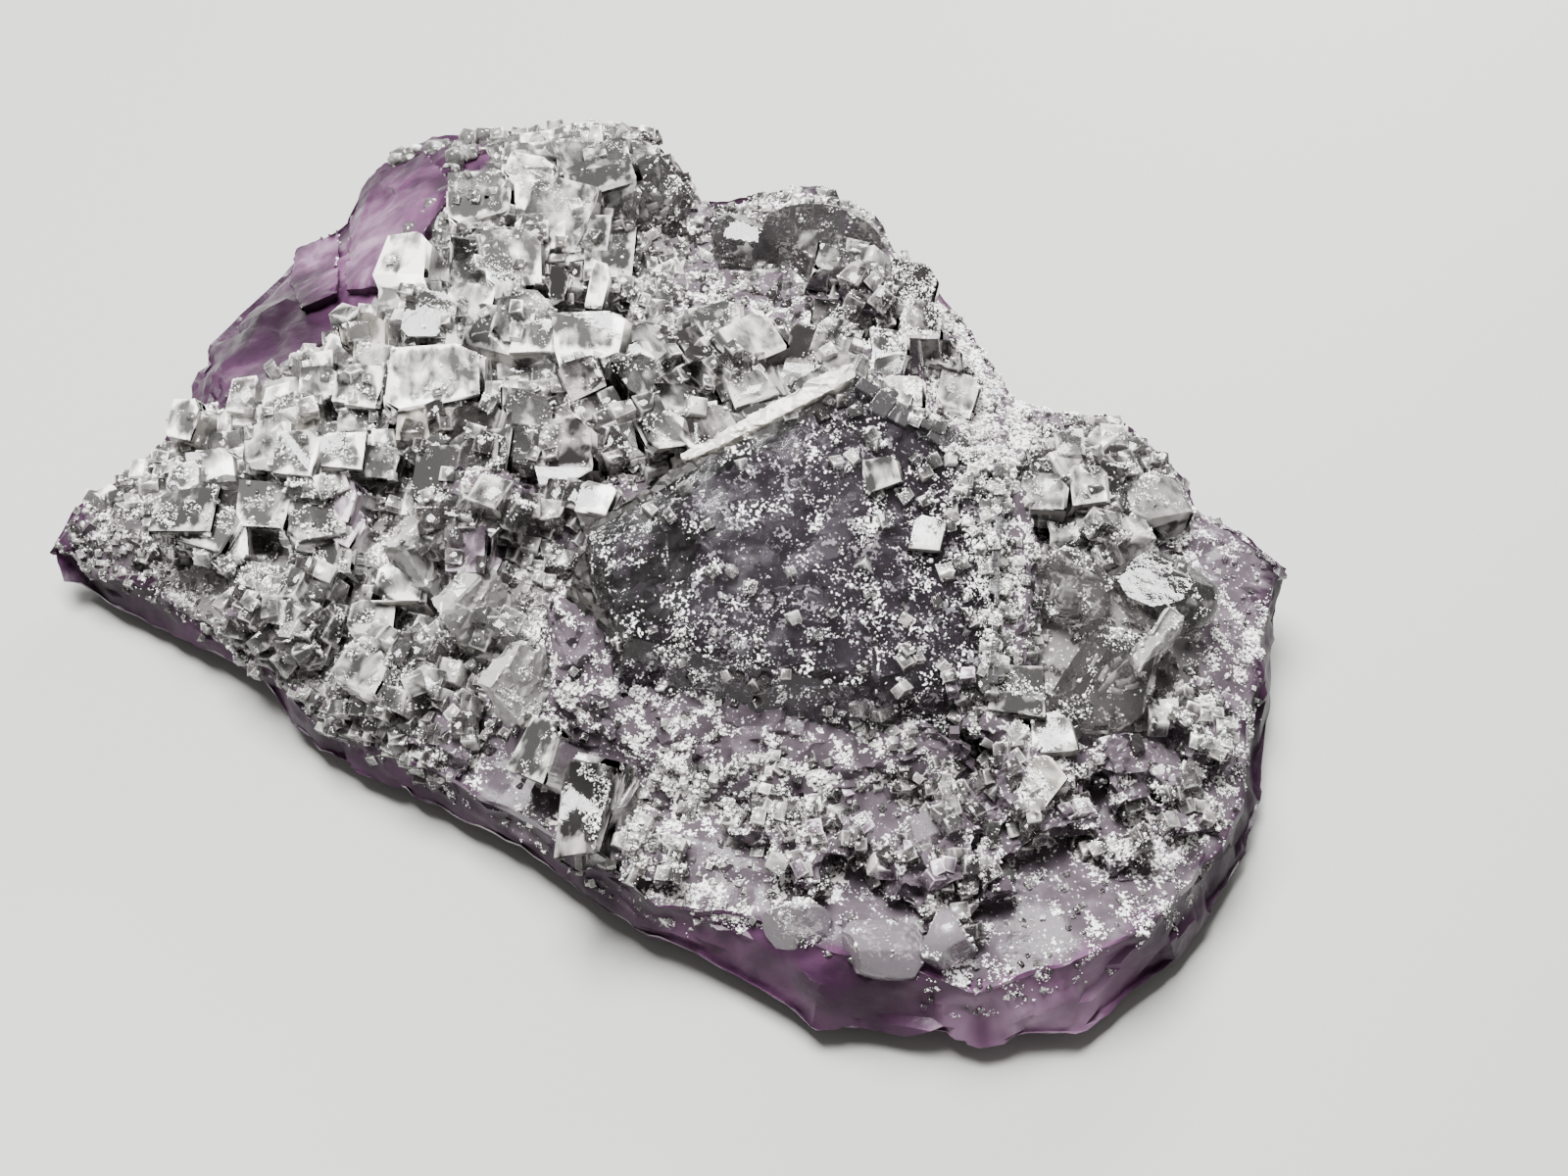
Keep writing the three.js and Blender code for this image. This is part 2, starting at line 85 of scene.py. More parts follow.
def new_finish(name):
    """A material with its shader, and short ways to add and join nodes."""
    material = bpy.data.materials.new(name)
    material.use_nodes = True
    nodes = material.node_tree.nodes
    shader = nodes["Principled BSDF"]

    def add(kind, **values):
        node = nodes.new(kind)
        for key, value in values.items():
            if hasattr(node, key):
                setattr(node, key, value)
            else:
                node.inputs[key.replace("_", " ")].default_value = value
        return node

    def join(start, end):
        material.node_tree.links.new(start, end)

    return material, shader, add, join


def ramp(add, join, source, stops):
    """A colour ramp through (position, colour) stops."""
    node = add("ShaderNodeValToRGB")
    elements = node.color_ramp.elements
    while len(elements) < len(stops):
        elements.new(0.5)
    for element, (position, colour) in zip(elements, stops):
        element.position = position
        element.color = (*colour, 1)
    join(source, node.inputs["Fac"])
    return node.outputs["Color"]


def spread(add, join, source, low, high, start=0.35, end=0.65):
    """A pattern's values from start to end, stretched over low to high."""
    node = add("ShaderNodeMapRange")
    for key, value in zip(("From Min", "From Max", "To Min", "To Max"), (start, end, low, high)):
        node.inputs[key].default_value = value
    join(source, node.inputs["Value"])
    return node.outputs["Result"]


def pattern(add, join, size, detail=3, kind="ShaderNodeTexNoise"):
    """A noise or cell pattern on Object coordinates, with features about size mm wide."""
    place = add("ShaderNodeTexCoord")
    node = add(kind)
    node.inputs["Scale"].default_value = 1 / (size * MM)
    node.inputs["Detail"].default_value = detail
    join(place.outputs["Object"], node.inputs["Vector"])
    return node


def blend(add, join, share, first, second):
    """One colour into another by a share; each is a socket or a colour."""
    node = add("ShaderNodeMix", data_type="RGBA")
    join(share, node.inputs[0])
    for value, index in ((first, 6), (second, 7)):
        if isinstance(value, tuple):
            node.inputs[index].default_value = (*value, 1)
        else:
            join(value, node.inputs[index])
    return node.outputs[2]


def math_of(add, join, operation, first, second):
    """One number from two by an operation; each is a socket or a number."""
    node = add("ShaderNodeMath", operation=operation)
    for value, socket in ((first, 0), (second, 1)):
        if isinstance(value, (int, float)):
            node.inputs[socket].default_value = value
        else:
            join(value, node.inputs[socket])
    return node.outputs["Value"]


def dust(add, join, amount):
    """Where fine white dust lies, 0 to 1: in clumps, on what looks up."""
    fine = pattern(add, join, DUST_GRAIN, detail=3)
    clumps = pattern(add, join, DUST_CLUMP, detail=4)
    both = math_of(add, join, "ADD", fine.outputs["Fac"], clumps.outputs["Fac"])
    lying = spread(add, join, both, 0, 1, 1.2 - amount, 1.24 - amount)
    place = add("ShaderNodeNewGeometry")
    axes = add("ShaderNodeSeparateXYZ")
    join(place.outputs["Normal"], axes.inputs["Vector"])
    facing = spread(add, join, axes.outputs["Z"], 0, 1, 0.15, 0.55)
    return math_of(add, join, "MULTIPLY", lying, facing)


def relief(add, join, shader, height, strength, depth):
    """Bump from a height pattern, depth in mm."""
    node = add("ShaderNodeBump")
    node.inputs["Strength"].default_value = strength
    node.inputs["Distance"].default_value = depth * MM
    join(height, node.inputs["Height"])
    join(node.outputs["Normal"], shader.inputs["Normal"])


# %% Table and lights
TABLE_SIZE = 3
TABLE_DROP = 0.02 * MM  # So the table and the break that rests on it aren't one plane.
TABLE_GREY = (0.33, 0.33, 0.32, 1)
ROOM_WHITE = (1, 0.98, 0.96, 1)
ROOM_STRENGTH = 0.42

bpy.ops.mesh.primitive_plane_add(size=TABLE_SIZE, location=(0, 0, -TABLE_DROP))
table = bpy.context.object
table.name = "table"
material, shader, add, join = new_finish("pale table")
shader.inputs["Base Color"].default_value = TABLE_GREY
shader.inputs["Roughness"].default_value = 0.6
table.data.materials.append(material)


def soft_light(name, place, size, power):
    """A square soft light aimed at the object; place and size in mm, power in watts."""
    data = bpy.data.lights.new(name, "AREA")
    data.size = size * MM
    data.energy = power
    light = bpy.data.objects.new(name, data)
    bpy.context.collection.objects.link(light)
    light.location = Vector(place) * MM
    aim = LOOK_AT - light.location
    light.rotation_euler = aim.to_track_quat("-Z", "Y").to_euler()


soft_light("overhead", place=(-60, 60, 420), size=220, power=9.4)
soft_light("behind", place=(160, 380, 200), size=160, power=3.0)
world = bpy.context.scene.world or bpy.data.worlds.new("room")
bpy.context.scene.world = world
world.use_nodes = True
room = world.node_tree.nodes["Background"]
room.inputs["Color"].default_value = ROOM_WHITE
room.inputs["Strength"].default_value = ROOM_STRENGTH
print("lights", [light.name for light in bpy.data.lights])

# %% [markdown]
# ## Shape values
# These are the values that the frame was built from, in millimetres. Each station holds the
# widest point of the side and the point where the crust begins, clockwise from the left tip.

# %% Stations and heights
STATIONS = [
    (-50, 0, 4, -48.3, -1.6, 6), (-47.3, 2.3, 7, -45.6, -0.3, 8.5),
    (-41.5, 5.8, 9, -40.1, 3, 10.5), (-39.5, 13, 9, -37, 8.4, 12),
    (-40.2, 23.6, 5, -35.4, 9.5, 13), (-38.6, 28, 4, -32.4, 11, 14),
    (-34.4, 35.2, 4, -27.3, 14, 15), (-30.3, 39.4, 5, -24.2, 17.9, 15.5),
    (-28.2, 41.6, 8, -22.1, 21.9, 16), (-25.6, 43, 10, -20.4, 25.8, 16.5),
    (-22, 44.2, 11, -17.6, 30.8, 16), (-16.5, 43.6, 12, -15.2, 35.9, 15),
    (-11.1, 43, 13, -10.7, 38.5, 15), (-5.6, 42.2, 14, -5.2, 37.6, 16),
    (-1.5, 41.1, 14, -1.8, 36.5, 16), (0.6, 38.3, 13, 0, 34.3, 15),
    (3.1, 34.2, 12, 2.2, 30.3, 14), (5.3, 34.2, 12, 5.6, 29.9, 14),
    (8.7, 33.1, 14, 8.8, 28.9, 16), (13.4, 32.3, 15, 13.1, 28.1, 17),
    (18.4, 30.2, 14, 17.4, 26.3, 16), (21.7, 25.3, 12, 20.2, 21.3, 14.5),
    (26.4, 18.5, 11, 24.9, 15.3, 13), (29.6, 12.8, 9, 28.3, 9.2, 11.5),
    (33.5, 11.4, 10, 32.9, 7.9, 12), (39.3, 8, 10, 38.1, 4.8, 12),
    (41.5, 6.8, 9, 40.1, 3.6, 11), (43.6, 1.7, 8, 42, -0.9, 10),
    (46.3, -1.6, 9, 45.2, -4.2, 10.5), (50, -5.1, 8, 48.6, -6.6, 9),
    (49.1, -7.3, 5, 47.5, -9.5, 8), (48.2, -13.1, 3, 46.3, -16, 8),
    (47.2, -18.9, 2, 45, -21.7, 8), (45.5, -26.1, 2, 43.2, -28, 8),
    (41.2, -33.8, 2, 39.6, -34.3, 8), (37.4, -38.3, 1.5, 34.6, -38.9, 9),
    (30.5, -43.6, 2, 29, -41.6, 9), (23.6, -44.2, 2, 23.3, -43.3, 8),
    (16.8, -43, 2, 17.7, -41.2, 9), (11.7, -43.2, 2, 13.3, -40.3, 9),
    (5.8, -39, 2, 8, -37.4, 8.5), (-0.1, -36.4, 3, 1.1, -36, 7.5),
    (-7.7, -30.2, 3, -6.7, -30.2, 7.5), (-16.1, -24.3, 2, -14.2, -25.2, 7),
    (-23.5, -20.7, 2, -19, -22.1, 7), (-25.8, -18.9, 2, -23.3, -19.9, 6.5),
    (-32, -12.3, 3, -30.2, -13.5, 7), (-40.9, -6.4, 2, -40.2, -5.6, 6),
    (-48.6, -2.3, 2, -46.8, -3, 5.5),
]
SPOT_HEIGHTS = [
    (-35, 0, 12), (-25, 5, 14), (-19, 9.5, 16), (-28, -8, 9.5), (-17, -16, 10), (-10, -5, 17),
    (-6, 12, 17.5), (-11, 30, 16.5), (11, 21, 17.5), (18, 12, 17.5), (-1, 0, 18), (9, 3, 18),
    (35, 1, 13), (29, -14, 14.5), (38, -13, 13.5), (33, -21, 13), (39, -23, 10.5),
    (-8, -18, 13), (14, -20, 16), (-3, -27, 9.5), (5, -31, 10), (20, -32, 10.5),
    (27, -29, 11), (34, -35, 9.5),
]
SPOT_SOFTNESS = 1
SPOT_FALLOFF = 1.75
MIDDLE = (1, -2)
CRUST_DEPTH = 1
HEIGHT_POINTS = np.array(SPOT_HEIGHTS + [row[3:] for row in STATIONS], float)
CRUST_BORDER = np.array([row[3:5] for row in STATIONS], float)
# On the far side the crystals and the sugar reach out over the edge of the wall.
FAR_SIDE = (0, 1, 2, *range(11, 34))
OVER_EDGE = 0.97
COVER_BORDER = CRUST_BORDER.copy()
for station in FAR_SIDE:
    COVER_BORDER[station] = np.array(STATIONS[station][:2]) * OVER_EDGE
RAGGED = 1.3
RAGGED_SIZE = 2.6
LOWEST_COVER = 4


def crust_height(x, y):
    """The crust's height at places x, y in mm: known heights weighted by nearness."""
    x, y = np.atleast_1d(x), np.atleast_1d(y)
    squares = (HEIGHT_POINTS[:, 0] - x[:, None]) ** 2 + (HEIGHT_POINTS[:, 1] - y[:, None]) ** 2
    weights = (squares + SPOT_SOFTNESS) ** -SPOT_FALLOFF
    return (weights * HEIGHT_POINTS[:, 2]).sum(1) / weights.sum(1)


def inside_crust(x, y, margin, border=CRUST_BORDER):
    """True where x, y lies inside the crust's border and a margin away from it."""
    x, y = np.atleast_1d(x)[:, None], np.atleast_1d(y)[:, None]
    a, b = border, np.roll(border, -1, 0)
    step = b - a
    rise = np.where(step[:, 1] == 0, 1e-9, step[:, 1])
    crosses = ((a[:, 1] > y) != (b[:, 1] > y)) & (x < a[:, 0] + step[:, 0] * (y - a[:, 1]) / rise)
    along = ((x - a[:, 0]) * step[:, 0] + (y - a[:, 1]) * step[:, 1]) / (step ** 2).sum(1)
    along = np.clip(along, 0, 1)
    gap = np.hypot(a[:, 0] + along * step[:, 0] - x, a[:, 1] + along * step[:, 1] - y)
    return (crosses.sum(1) % 2 == 1) & (gap.min(1) > margin)


def covered(places):
    """True where the crust lies over places in mm; its border is ragged."""
    soft = [noise.noise(Vector(place) / RAGGED_SIZE) for place in places]
    ragged = np.array([RAGGED * (0.5 + value) for value in soft])
    inside = inside_crust(places[:, 0], places[:, 1], np.maximum(ragged, 0), COVER_BORDER)
    return inside & (places[:, 2] > LOWEST_COVER)


def seeded(seed):
    """Even draws from 0 to 1, the same ones that placed the frame's crystals."""
    whole = 0xFFFFFFFF
    state = seed

    def draw():
        nonlocal state
        state = (state + 0x6D2B79F5) & whole
        mixed = ((state ^ (state >> 15)) * (state | 1)) & whole
        mixed = ((mixed + (((mixed ^ (mixed >> 7)) * (mixed | 61)) & whole)) & whole) ^ mixed
        return (mixed ^ (mixed >> 14)) / 4294967296

    return draw


print("crust height at the middle", round(float(crust_height(*MIDDLE)[0]), 2), "mm")

# %% [markdown]
# ## The violet body
# The body is the massive fluorite under the crust. Its broken sides are glassy violet, and
# from above it only shows as near-black violet gaps between the crystals. It starts as one flat
# ring, the break it rests on, and is extruded ring by ring up the side and in over the top, as
# the frame's solid is. The rings are then cut finer and chipped, so light breaks on small
# cleavage steps.

# %% Rings of the body
BASE_SHARE = 0.9
LOW_WALL_SHARE = 0.96
LOW_WALL_HEIGHT = 0.45
UPPER_WALL_SHARE = 0.45
UPPER_WALL_HEIGHT = 0.6
SHARE_JITTER = 0.02
CRUST_RINGS = (0.85, 0.68, 0.5, 0.32, 0.15)
WALL_ROUGHNESS = 0.5
TOP_ROUGHNESS = 0.7


def between(a, b, share):
    """A value at a share of the way from a to b."""
    return a + (b - a) * share


def towards(share, x, y):
    """A place at a share of the way from the middle to x, y."""
    return between(MIDDLE[0], x, share), between(MIDDLE[1], y, share)


def body_rings():
    """The body's rings in metres, from the break up the side and in over the top."""
    draw = seeded(5)

    def jitter(size):
        return (2 * draw() - 1) * size

    rows = STATIONS[::-1]
    rings = [[(*towards(BASE_SHARE + jitter(SHARE_JITTER), *row[:2]), 0) for row in rows]]
    low = []
    for x, y, z, *_ in rows:
        low.append((*towards(LOW_WALL_SHARE + jitter(SHARE_JITTER), x, y), z * LOW_WALL_HEIGHT))
    rings.append(low)
    rings.append([row[:3] for row in rows])
    upper = []
    for x, y, z, crust_x, crust_y, crust_z in rows:
        share = 1 - SHARE_JITTER * draw()
        place = (between(x, crust_x, UPPER_WALL_SHARE), between(y, crust_y, UPPER_WALL_SHARE))
        height = between(z, crust_z, UPPER_WALL_HEIGHT) + jitter(WALL_ROUGHNESS)
        upper.append((*towards(share, *place), height))
    rings.append(upper)
    rings.append([(row[3], row[4], row[5] - CRUST_DEPTH / 2) for row in rows])
    for share in CRUST_RINGS:
        ring = []
        for row in rows:
            x, y = towards(share + jitter(SHARE_JITTER), row[3], row[4])
            ring.append((x, y, crust_height(x, y)[0] - CRUST_DEPTH + jitter(TOP_ROUGHNESS)))
        rings.append(ring)
    return [np.array(ring, float) * MM for ring in rings]


rings = body_rings()
print(len(rings), "rings of", len(rings[0]), "points")


# %% The body, extruded ring by ring
def edit(piece):
    """Starts edit mode on one piece alone."""
    bpy.ops.object.select_all(action="DESELECT")
    bpy.context.view_layer.objects.active = piece
    piece.select_set(True)
    bpy.ops.object.mode_set(mode="EDIT")


def leave_edit():
    """Ends edit mode with nothing selected."""
    bpy.ops.object.mode_set(mode="OBJECT")
    bpy.ops.object.select_all(action="DESELECT")


def in_order(piece):
    """Lists a piece's corners and faces in one steady order, which an extrude doesn't keep.

    The random places on its faces are then the same in every run.
    """
    mesh = piece.data
    places = [tuple(corner.co) for corner in mesh.vertices]
    order = sorted(range(len(places)), key=places.__getitem__)
    number = {old: new for new, old in enumerate(order)}
    faces = []
    for face in mesh.polygons:
        corners = [number[index] for index in face.vertices]
        first = corners.index(min(corners))
        faces.append(tuple(corners[first:] + corners[:first]))
    mesh.clear_geometry()
    mesh.from_pydata([places[old] for old in order], [], sorted(faces))


def extruded_rings(name, rings):
    """A closed form from stacked rings with the same number of points."""
    count = len(rings[0])
    bpy.ops.mesh.primitive_circle_add(vertices=count, radius=1, fill_type="NGON")
    piece = bpy.context.object
    piece.name = name
    for corner, place in zip(piece.data.vertices, rings[0]):
        corner.co = place
    for lower, upper in zip(rings, rings[1:]):
        edit(piece)
        bpy.ops.mesh.extrude_region_move()
        bpy.ops.object.mode_set(mode="OBJECT")
        for corner in piece.data.vertices:
            if corner.select:
                index = np.abs(lower - np.array(corner.co)).sum(1).argmin()
                corner.co = upper[index]
    edit(piece)
    bpy.ops.mesh.poke()
    bpy.ops.mesh.select_all(action="SELECT")
    bpy.ops.mesh.normals_make_consistent(inside=False)
    leave_edit()
    in_order(piece)
    return piece


body = extruded_rings("fluorite_body", rings)
print("body", len(body.data.vertices), "corners", len(body.data.polygons), "faces")


# %% [markdown]
# ## Chipped, glassy faces
# Fluorite breaks along flat planes in four directions, so a broken side is a staircase of small
# tilted faces. Noise alone would give soft stone. Here the surface is cut fine, then each little
# cell of it is tilted and set in as one flat chip, always inwards, so the piece never grows. A
# collapse to fewer faces then leaves crisp planes.

# %% Chips
# How far in a chip lies: a share that is the same all over, one of its own, and one for its tilt.
CHIP_INSET, CHIP_STEP, CHIP_TILT = 0.3, 0.45, 0.75
FINER_CHIPS = 0.3
SCALLOP_SIZE = 6
# Without a seed of its own, noise_vector follows the clock, and no two runs would be alike.
noise.seed_set(1)


def cell_turn(place):
    """A steady direction for the cell that holds a place."""
    return noise.noise_vector(place * 7.31).normalized()


def chipped(point, size, depth):
    """How far in the surface is set at a point in mm, by the tilt of the chip that it lies in."""
    middle = noise.voronoi(point / size)[1][0]
    tilt = cell_turn(middle)
    lean = (point / size - middle).dot(tilt)
    step = 0.5 * (1 + noise.noise(middle * 3.7))
    return depth * min(1, max(0, CHIP_STEP * step + CHIP_INSET + CHIP_TILT * lean))


def chip(piece, size, depth, smallest=FINER_CHIPS, scallop=0.0):
    """Sets a piece's surface in along its normals as flat chips of two sizes, and soft scallops."""
    corners = piece.data.vertices
    normals = [corner.normal.copy() for corner in corners]
    for corner, normal in zip(corners, normals):
        point = corner.co / MM
        if point.z < 0.05:
            continue
        inset = chipped(point, size, depth) + chipped(point, size * smallest, depth * smallest)
        inset += scallop * abs(noise.noise(point / SCALLOP_SIZE))
        corner.co = (point - normal * min(inset, point.z * 0.9)) * MM


def finer(piece, cuts):
    """Cuts every edge of a piece into cuts + 1 parts."""
    edit(piece)
    bpy.ops.mesh.select_all(action="SELECT")
    bpy.ops.mesh.subdivide(number_cuts=cuts)
    leave_edit()


def smooth_faces(piece, degrees):
    """Soft shading that breaks at edges sharper than an angle."""
    bpy.ops.object.select_all(action="DESELECT")
    bpy.context.view_layer.objects.active = piece
    piece.select_set(True)
    bpy.ops.object.shade_smooth_by_angle(angle=math.radians(degrees))
    bpy.ops.object.select_all(action="DESELECT")


def apply_all(piece):
    """Applies a piece's modifiers."""
    bpy.ops.object.select_all(action="DESELECT")
    bpy.context.view_layer.objects.active = piece
    piece.select_set(True)
    for modifier in list(piece.modifiers):
        bpy.ops.object.modifier_apply(modifier=modifier.name)
    bpy.ops.object.select_all(action="DESELECT")


def collapsed(piece, faces):
    """Brings a piece down to about that many triangles."""
    modifier = piece.modifiers.new("collapse", "DECIMATE")
    modifier.use_collapse_triangulate = True
    triangles = sum(len(face.vertices) - 2 for face in piece.data.polygons)
    modifier.ratio = min(1, faces / triangles)
    apply_all(piece)


# %% The body, cut finer and chipped
FAR_HOLLOW = (-6.2, 16.2)
HOLLOW_REACH = (3.1, 2.6)
HOLLOW_DEPTH = 3.2
LOWEST_HOLLOW = 8

finer(body, cuts=7)
for corner in body.data.vertices:
    x = (corner.co.x / MM - FAR_HOLLOW[0]) / HOLLOW_REACH[0]
    y = (corner.co.y / MM - FAR_HOLLOW[1]) / HOLLOW_REACH[1]
    if max(abs(x), abs(y)) < 1 and corner.co.z > LOWEST_HOLLOW * MM:
        corner.co.z -= HOLLOW_DEPTH * MM
chip(body, size=5.5, depth=0.75, smallest=0.2, scallop=0.8)
collapsed(body, faces=46000)
print("body", len(body.data.polygons), "faces")

# %% The tone of the violet, with painted shade
# It runs from 0, near black, to 1, pale lilac. Each row is a middle x, y, z and a reach in mm, and
# a change of tone. Most rows are the violet's own lighter and darker zones; some darker ones are
# painted shade on side walls that the light misses.
TONE_AT_REST = 0.22
TONES_AND_PAINTED_SHADE = [
    (-25, 29.2, 13, 6, 0.42), (-31.2, 30.1, 8, 3, 0.4), (-32.5, 22, 10, 6, -0.3),
    (-34.1, 14.5, 11, 4, 0.12), (-16, 39.6, 13, 3, 0.4), (12.4, -39.6, 3, 5, -0.02),
    (12.6, -43, 1, 4, 0.2), (30.3, -41, 3, 6, 0.54), (23, -42, 4, 5, 0.3),
    (-26.8, 20.7, 14, 4, 0.3), (-29, 28, 12, 5, 0.15), (40, -36, 3, 4, -0.1),
    # The row at -44.2, -4.2 is painted shade on the left tip's shaded side.
    (2.4, -37, 3, 4, 0.35), (-7, -30, 4, 7, -0.05), (-44.2, -4.2, 3, 6, -0.2),
    (-20, -22, 5, 5, 0.05), (2, 38, 13, 8, -0.3), (15, 32, 14, 7, -0.3),
    (48, -12, 4, 9, -0.2), (46, -25, 4, 8, -0.15),
]


def tone_and_shade_at(places):
    """The violet's tone at places in mm, with its painted shade."""
    tone = np.full(len(places), TONE_AT_REST)
    for x, y, z, reach, change in TONES_AND_PAINTED_SHADE:
        away = ((places - (x, y, z)) ** 2).sum(1) / reach ** 2
        tone += change * np.exp(-away)
    return tone


def corners_of(piece):
    """A piece's corners in mm."""
    return np.array([corner.co for corner in piece.data.vertices]) / MM


def upwards(piece):
    """How far each corner of a piece looks up, from -1 to 1."""
    return np.array([corner.normal.z for corner in piece.data.vertices])


def note(piece, name, values):
    """Writes a number on each of a piece's corners, for its finish."""
    attribute = piece.data.attributes.new(name, "FLOAT", "POINT")
    attribute.data.foreach_set("value", values.astype(np.float32))


def note_tone(piece):
    note(piece, "tone", tone_and_shade_at(corners_of(piece)))


# %% Bare sides and the painted glow of the ground
# The surface is bare, 1, on the broken sides and 0 under the crust. Under clear crystals the ground
# is painted paler, a painted glow of light scattered through them into the gaps; each row is a
# middle x, y and a reach x, y in mm.
STEEP = 0.25
NEAR_BORDER = 1.5
PAINTED_GLOW_GROUND = [
    (-14, 20, 13, 17), (-30, 4, 13, 9), (4, 5, 9, 5), (-12, 38, 9, 5), (33, -15, 7, 7),
    (-30, -6, 12, 6), (-18, -12, 9, 6),
]

places = corners_of(body)
near_border = ~inside_crust(places[:, 0], places[:, 1], NEAR_BORDER, COVER_BORDER)
deep_inside = covered(places) & ~((upwards(body) < STEEP) & near_border)
note(body, "bare", np.where(deep_inside, 0.0, 1.0))
note_tone(body)
pale = np.zeros(len(places))
for x, y, reach_x, reach_y in PAINTED_GLOW_GROUND:
    away = ((places[:, 0] - x) / reach_x) ** 2 + ((places[:, 1] - y) / reach_y) ** 2
    pale = np.maximum(pale, np.clip(1.6 - away, 0, 1))
pale *= np.hypot(*(places[:, :2] - FAR_HOLLOW).T) > max(HOLLOW_REACH)
note(body, "pale", pale)
smooth_faces(body, 30)
print("bare corners", int((~deep_inside).sum()), "of", len(places))

# %% [markdown]
# ## Violet finish
# The colour of fluorite lies in its depth, in bands that follow the crystal's growth. Bright
# violet shows where the piece is thin or freshly cleaved, and near-black where it is thick. A
# single painted violet would look like plastic. Here bands of lilac and dark violet cross the
# faces, the bare sides let some light in, and the crusted top stays dark and dull. Some tone is
# painted shade on shaded side walls, and the ground under clear crystals carries a painted glow.
# The finest white powder, too fine for grains of its own, is painted on it where the sugar lies
# later.

# %% Violet finish
WHITE = (0.86, 0.84, 0.82)
PAINTED_GLOW_GREY = (0.15, 0.142, 0.138)
POWDER_GRAIN = 0.3


def noted(add, name):
    """A number that was written on the corners."""
    return add("ShaderNodeAttribute", attribute_name=name).outputs["Fac"]


def violet_colour(add, join, unevenness):
    """Violet by the piece's tone, with bands that noise bends."""
    bands = pattern(add, join, 7, detail=3)
    bands.inputs["Distortion"].default_value = 1.2
    uneven = spread(add, join, bands.outputs["Fac"], -unevenness, unevenness, 0.3, 0.7)
    return ramp(add, join, math_of(add, join, "ADD", noted(add, "tone"), uneven), [
        (0.0, (0.012, 0.005, 0.011)), (0.3, (0.04, 0.015, 0.037)), (0.55, (0.11, 0.047, 0.1)),
        (0.8, (0.27, 0.17, 0.255)), (1.0, (0.5, 0.42, 0.48)),
    ])


def violet_finish():
    """Violet by tone where it is bare, else dark ground under white powder, with a painted glow
    under clear crystals.
    """
    material, shader, add, join = new_finish("violet fluorite")
    bare = noted(add, "bare")
    light = violet_colour(add, join, 0.18)
    fine = pattern(add, join, 1.6, detail=5)
    dark = ramp(add, join, fine.outputs["Fac"], [
        (0.35, (0.055, 0.044, 0.053)), (0.55, (0.075, 0.06, 0.072)), (0.72, (0.115, 0.095, 0.11)),
    ])
    # Under clear crystals the dark ground is painted paler: a painted glow in the gaps.
    dark = blend(add, join, noted(add, "pale"), dark, PAINTED_GLOW_GREY)
    grains = pattern(add, join, POWDER_GRAIN, detail=4).outputs["Fac"]
    most = spread(add, join, noted(add, "frost"), -0.04, 0.15, 0, 1)
    powder = spread(add, join, math_of(add, join, "ADD", grains, most), 0, 1, 0.6, 0.66)
    powder = math_of(add, join, "MULTIPLY", powder, spread(add, join, bare, 1, 0, 0, 1))
    grown = blend(add, join, bare, dark, light)
    join(blend(add, join, powder, grown, WHITE), shader.inputs["Base Color"])
    join(spread(add, join, bare, 0.0, 0.2, 0, 1), shader.inputs["Transmission Weight"])
    rough = spread(add, join, fine.outputs["Fac"], 0.1, 0.3)
    rough = math_of(add, join, "ADD", rough, spread(add, join, bare, 0, 0.18, 0, 1))
    join(math_of(add, join, "MAXIMUM", rough, powder), shader.inputs["Roughness"])
    shader.inputs["IOR"].default_value = FLUORITE_IOR
    shader.inputs["Specular IOR Level"].default_value = 0.14
    relief(add, join, shader, fine.outputs["Fac"], 0.5, 0.3)
    return material


VIOLET = violet_finish()
body.data.materials.append(VIOLET)
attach(body, "root")
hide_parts("fluorite_cluster")
print("finish", VIOLET.name)

# %% [markdown]
# ## The great crystal and its steps
# One crystal stands over all others. Its top face leans to the viewer, with a pale cleavage
# blade along its far edge, a lower growth step to its right, and a dark slope on the near side.
# Each is a block with flat faces, so each is wrapped as a convex hull round its few corners and
# its edges are bevelled to catch the light. The great crystal is a clear outer layer over a dark
# core, which is what gives the real one its pale rim.

# %% Blocks with flat faces
GREAT_TOP = [
    (-4, -14.1, 22), (5.7, -7.8, 24), (15, -1.8, 26), (22.6, -4.9, 23),
    (25.9, -6, 21), (24.9, -23.1, 16), (14.8, -23.9, 17), (-1, -21, 19),
]
GREAT_FOOT = [
    (-6, -13, 9), (3.5, -4, 9), (14.5, 1.5, 9), (24, -2, 9),
    (29, -8, 9), (27.5, -25, 9), (14, -26, 9), (-3, -23, 9),
]
RIDGE_BLADE = [
    (2.2, -8, 24), (7.6, -5.2, 25.4), (13.4, -1.9, 26.9), (15.2, -1.4, 27), (15.6, -2.6, 26.5),
    (13.2, -4.1, 26.2), (8.3, -6.4, 25), (2.9, -8.8, 23.8), (3.2, -8.8, 21), (15, -2, 23),
    (9, -4, 22),
]
BLADE_ROOT = [
    (-4.4, -13.2, 22), (-1.3, -11.2, 22.8), (2.6, -8.4, 23.8), (8, -6.3, 24.6), (8.4, -7.2, 24.3),
    (3.1, -10.3, 22.9), (-1.3, -13.2, 21.8), (-4.2, -14.9, 21.2), (-4, -13, 18), (8, -6, 21),
]
BROKEN_END = [
    (-5, -13.4, 20), (-1.5, -12.6, 22.4), (3.4, -10.6, 23), (4.4, -14, 22), (2.8, -19.6, 19.6),
    (-1.6, -21, 18.4), (-6.2, -15.6, 17.2), (-7, -14.4, 12), (-2, -22, 12), (4, -18, 14),
    (3, -10, 16),
]
RIGHT_STEP = [
    (16, 0.6, 23.4), (23.6, -2.6, 21), (28, -5.6, 19), (28.6, -12, 17.4), (27, -25, 14.2),
    (22, -26, 14.4), (17, 2, 12), (29.8, -4.6, 11), (30.6, -14, 10), (28, -27, 9),
]
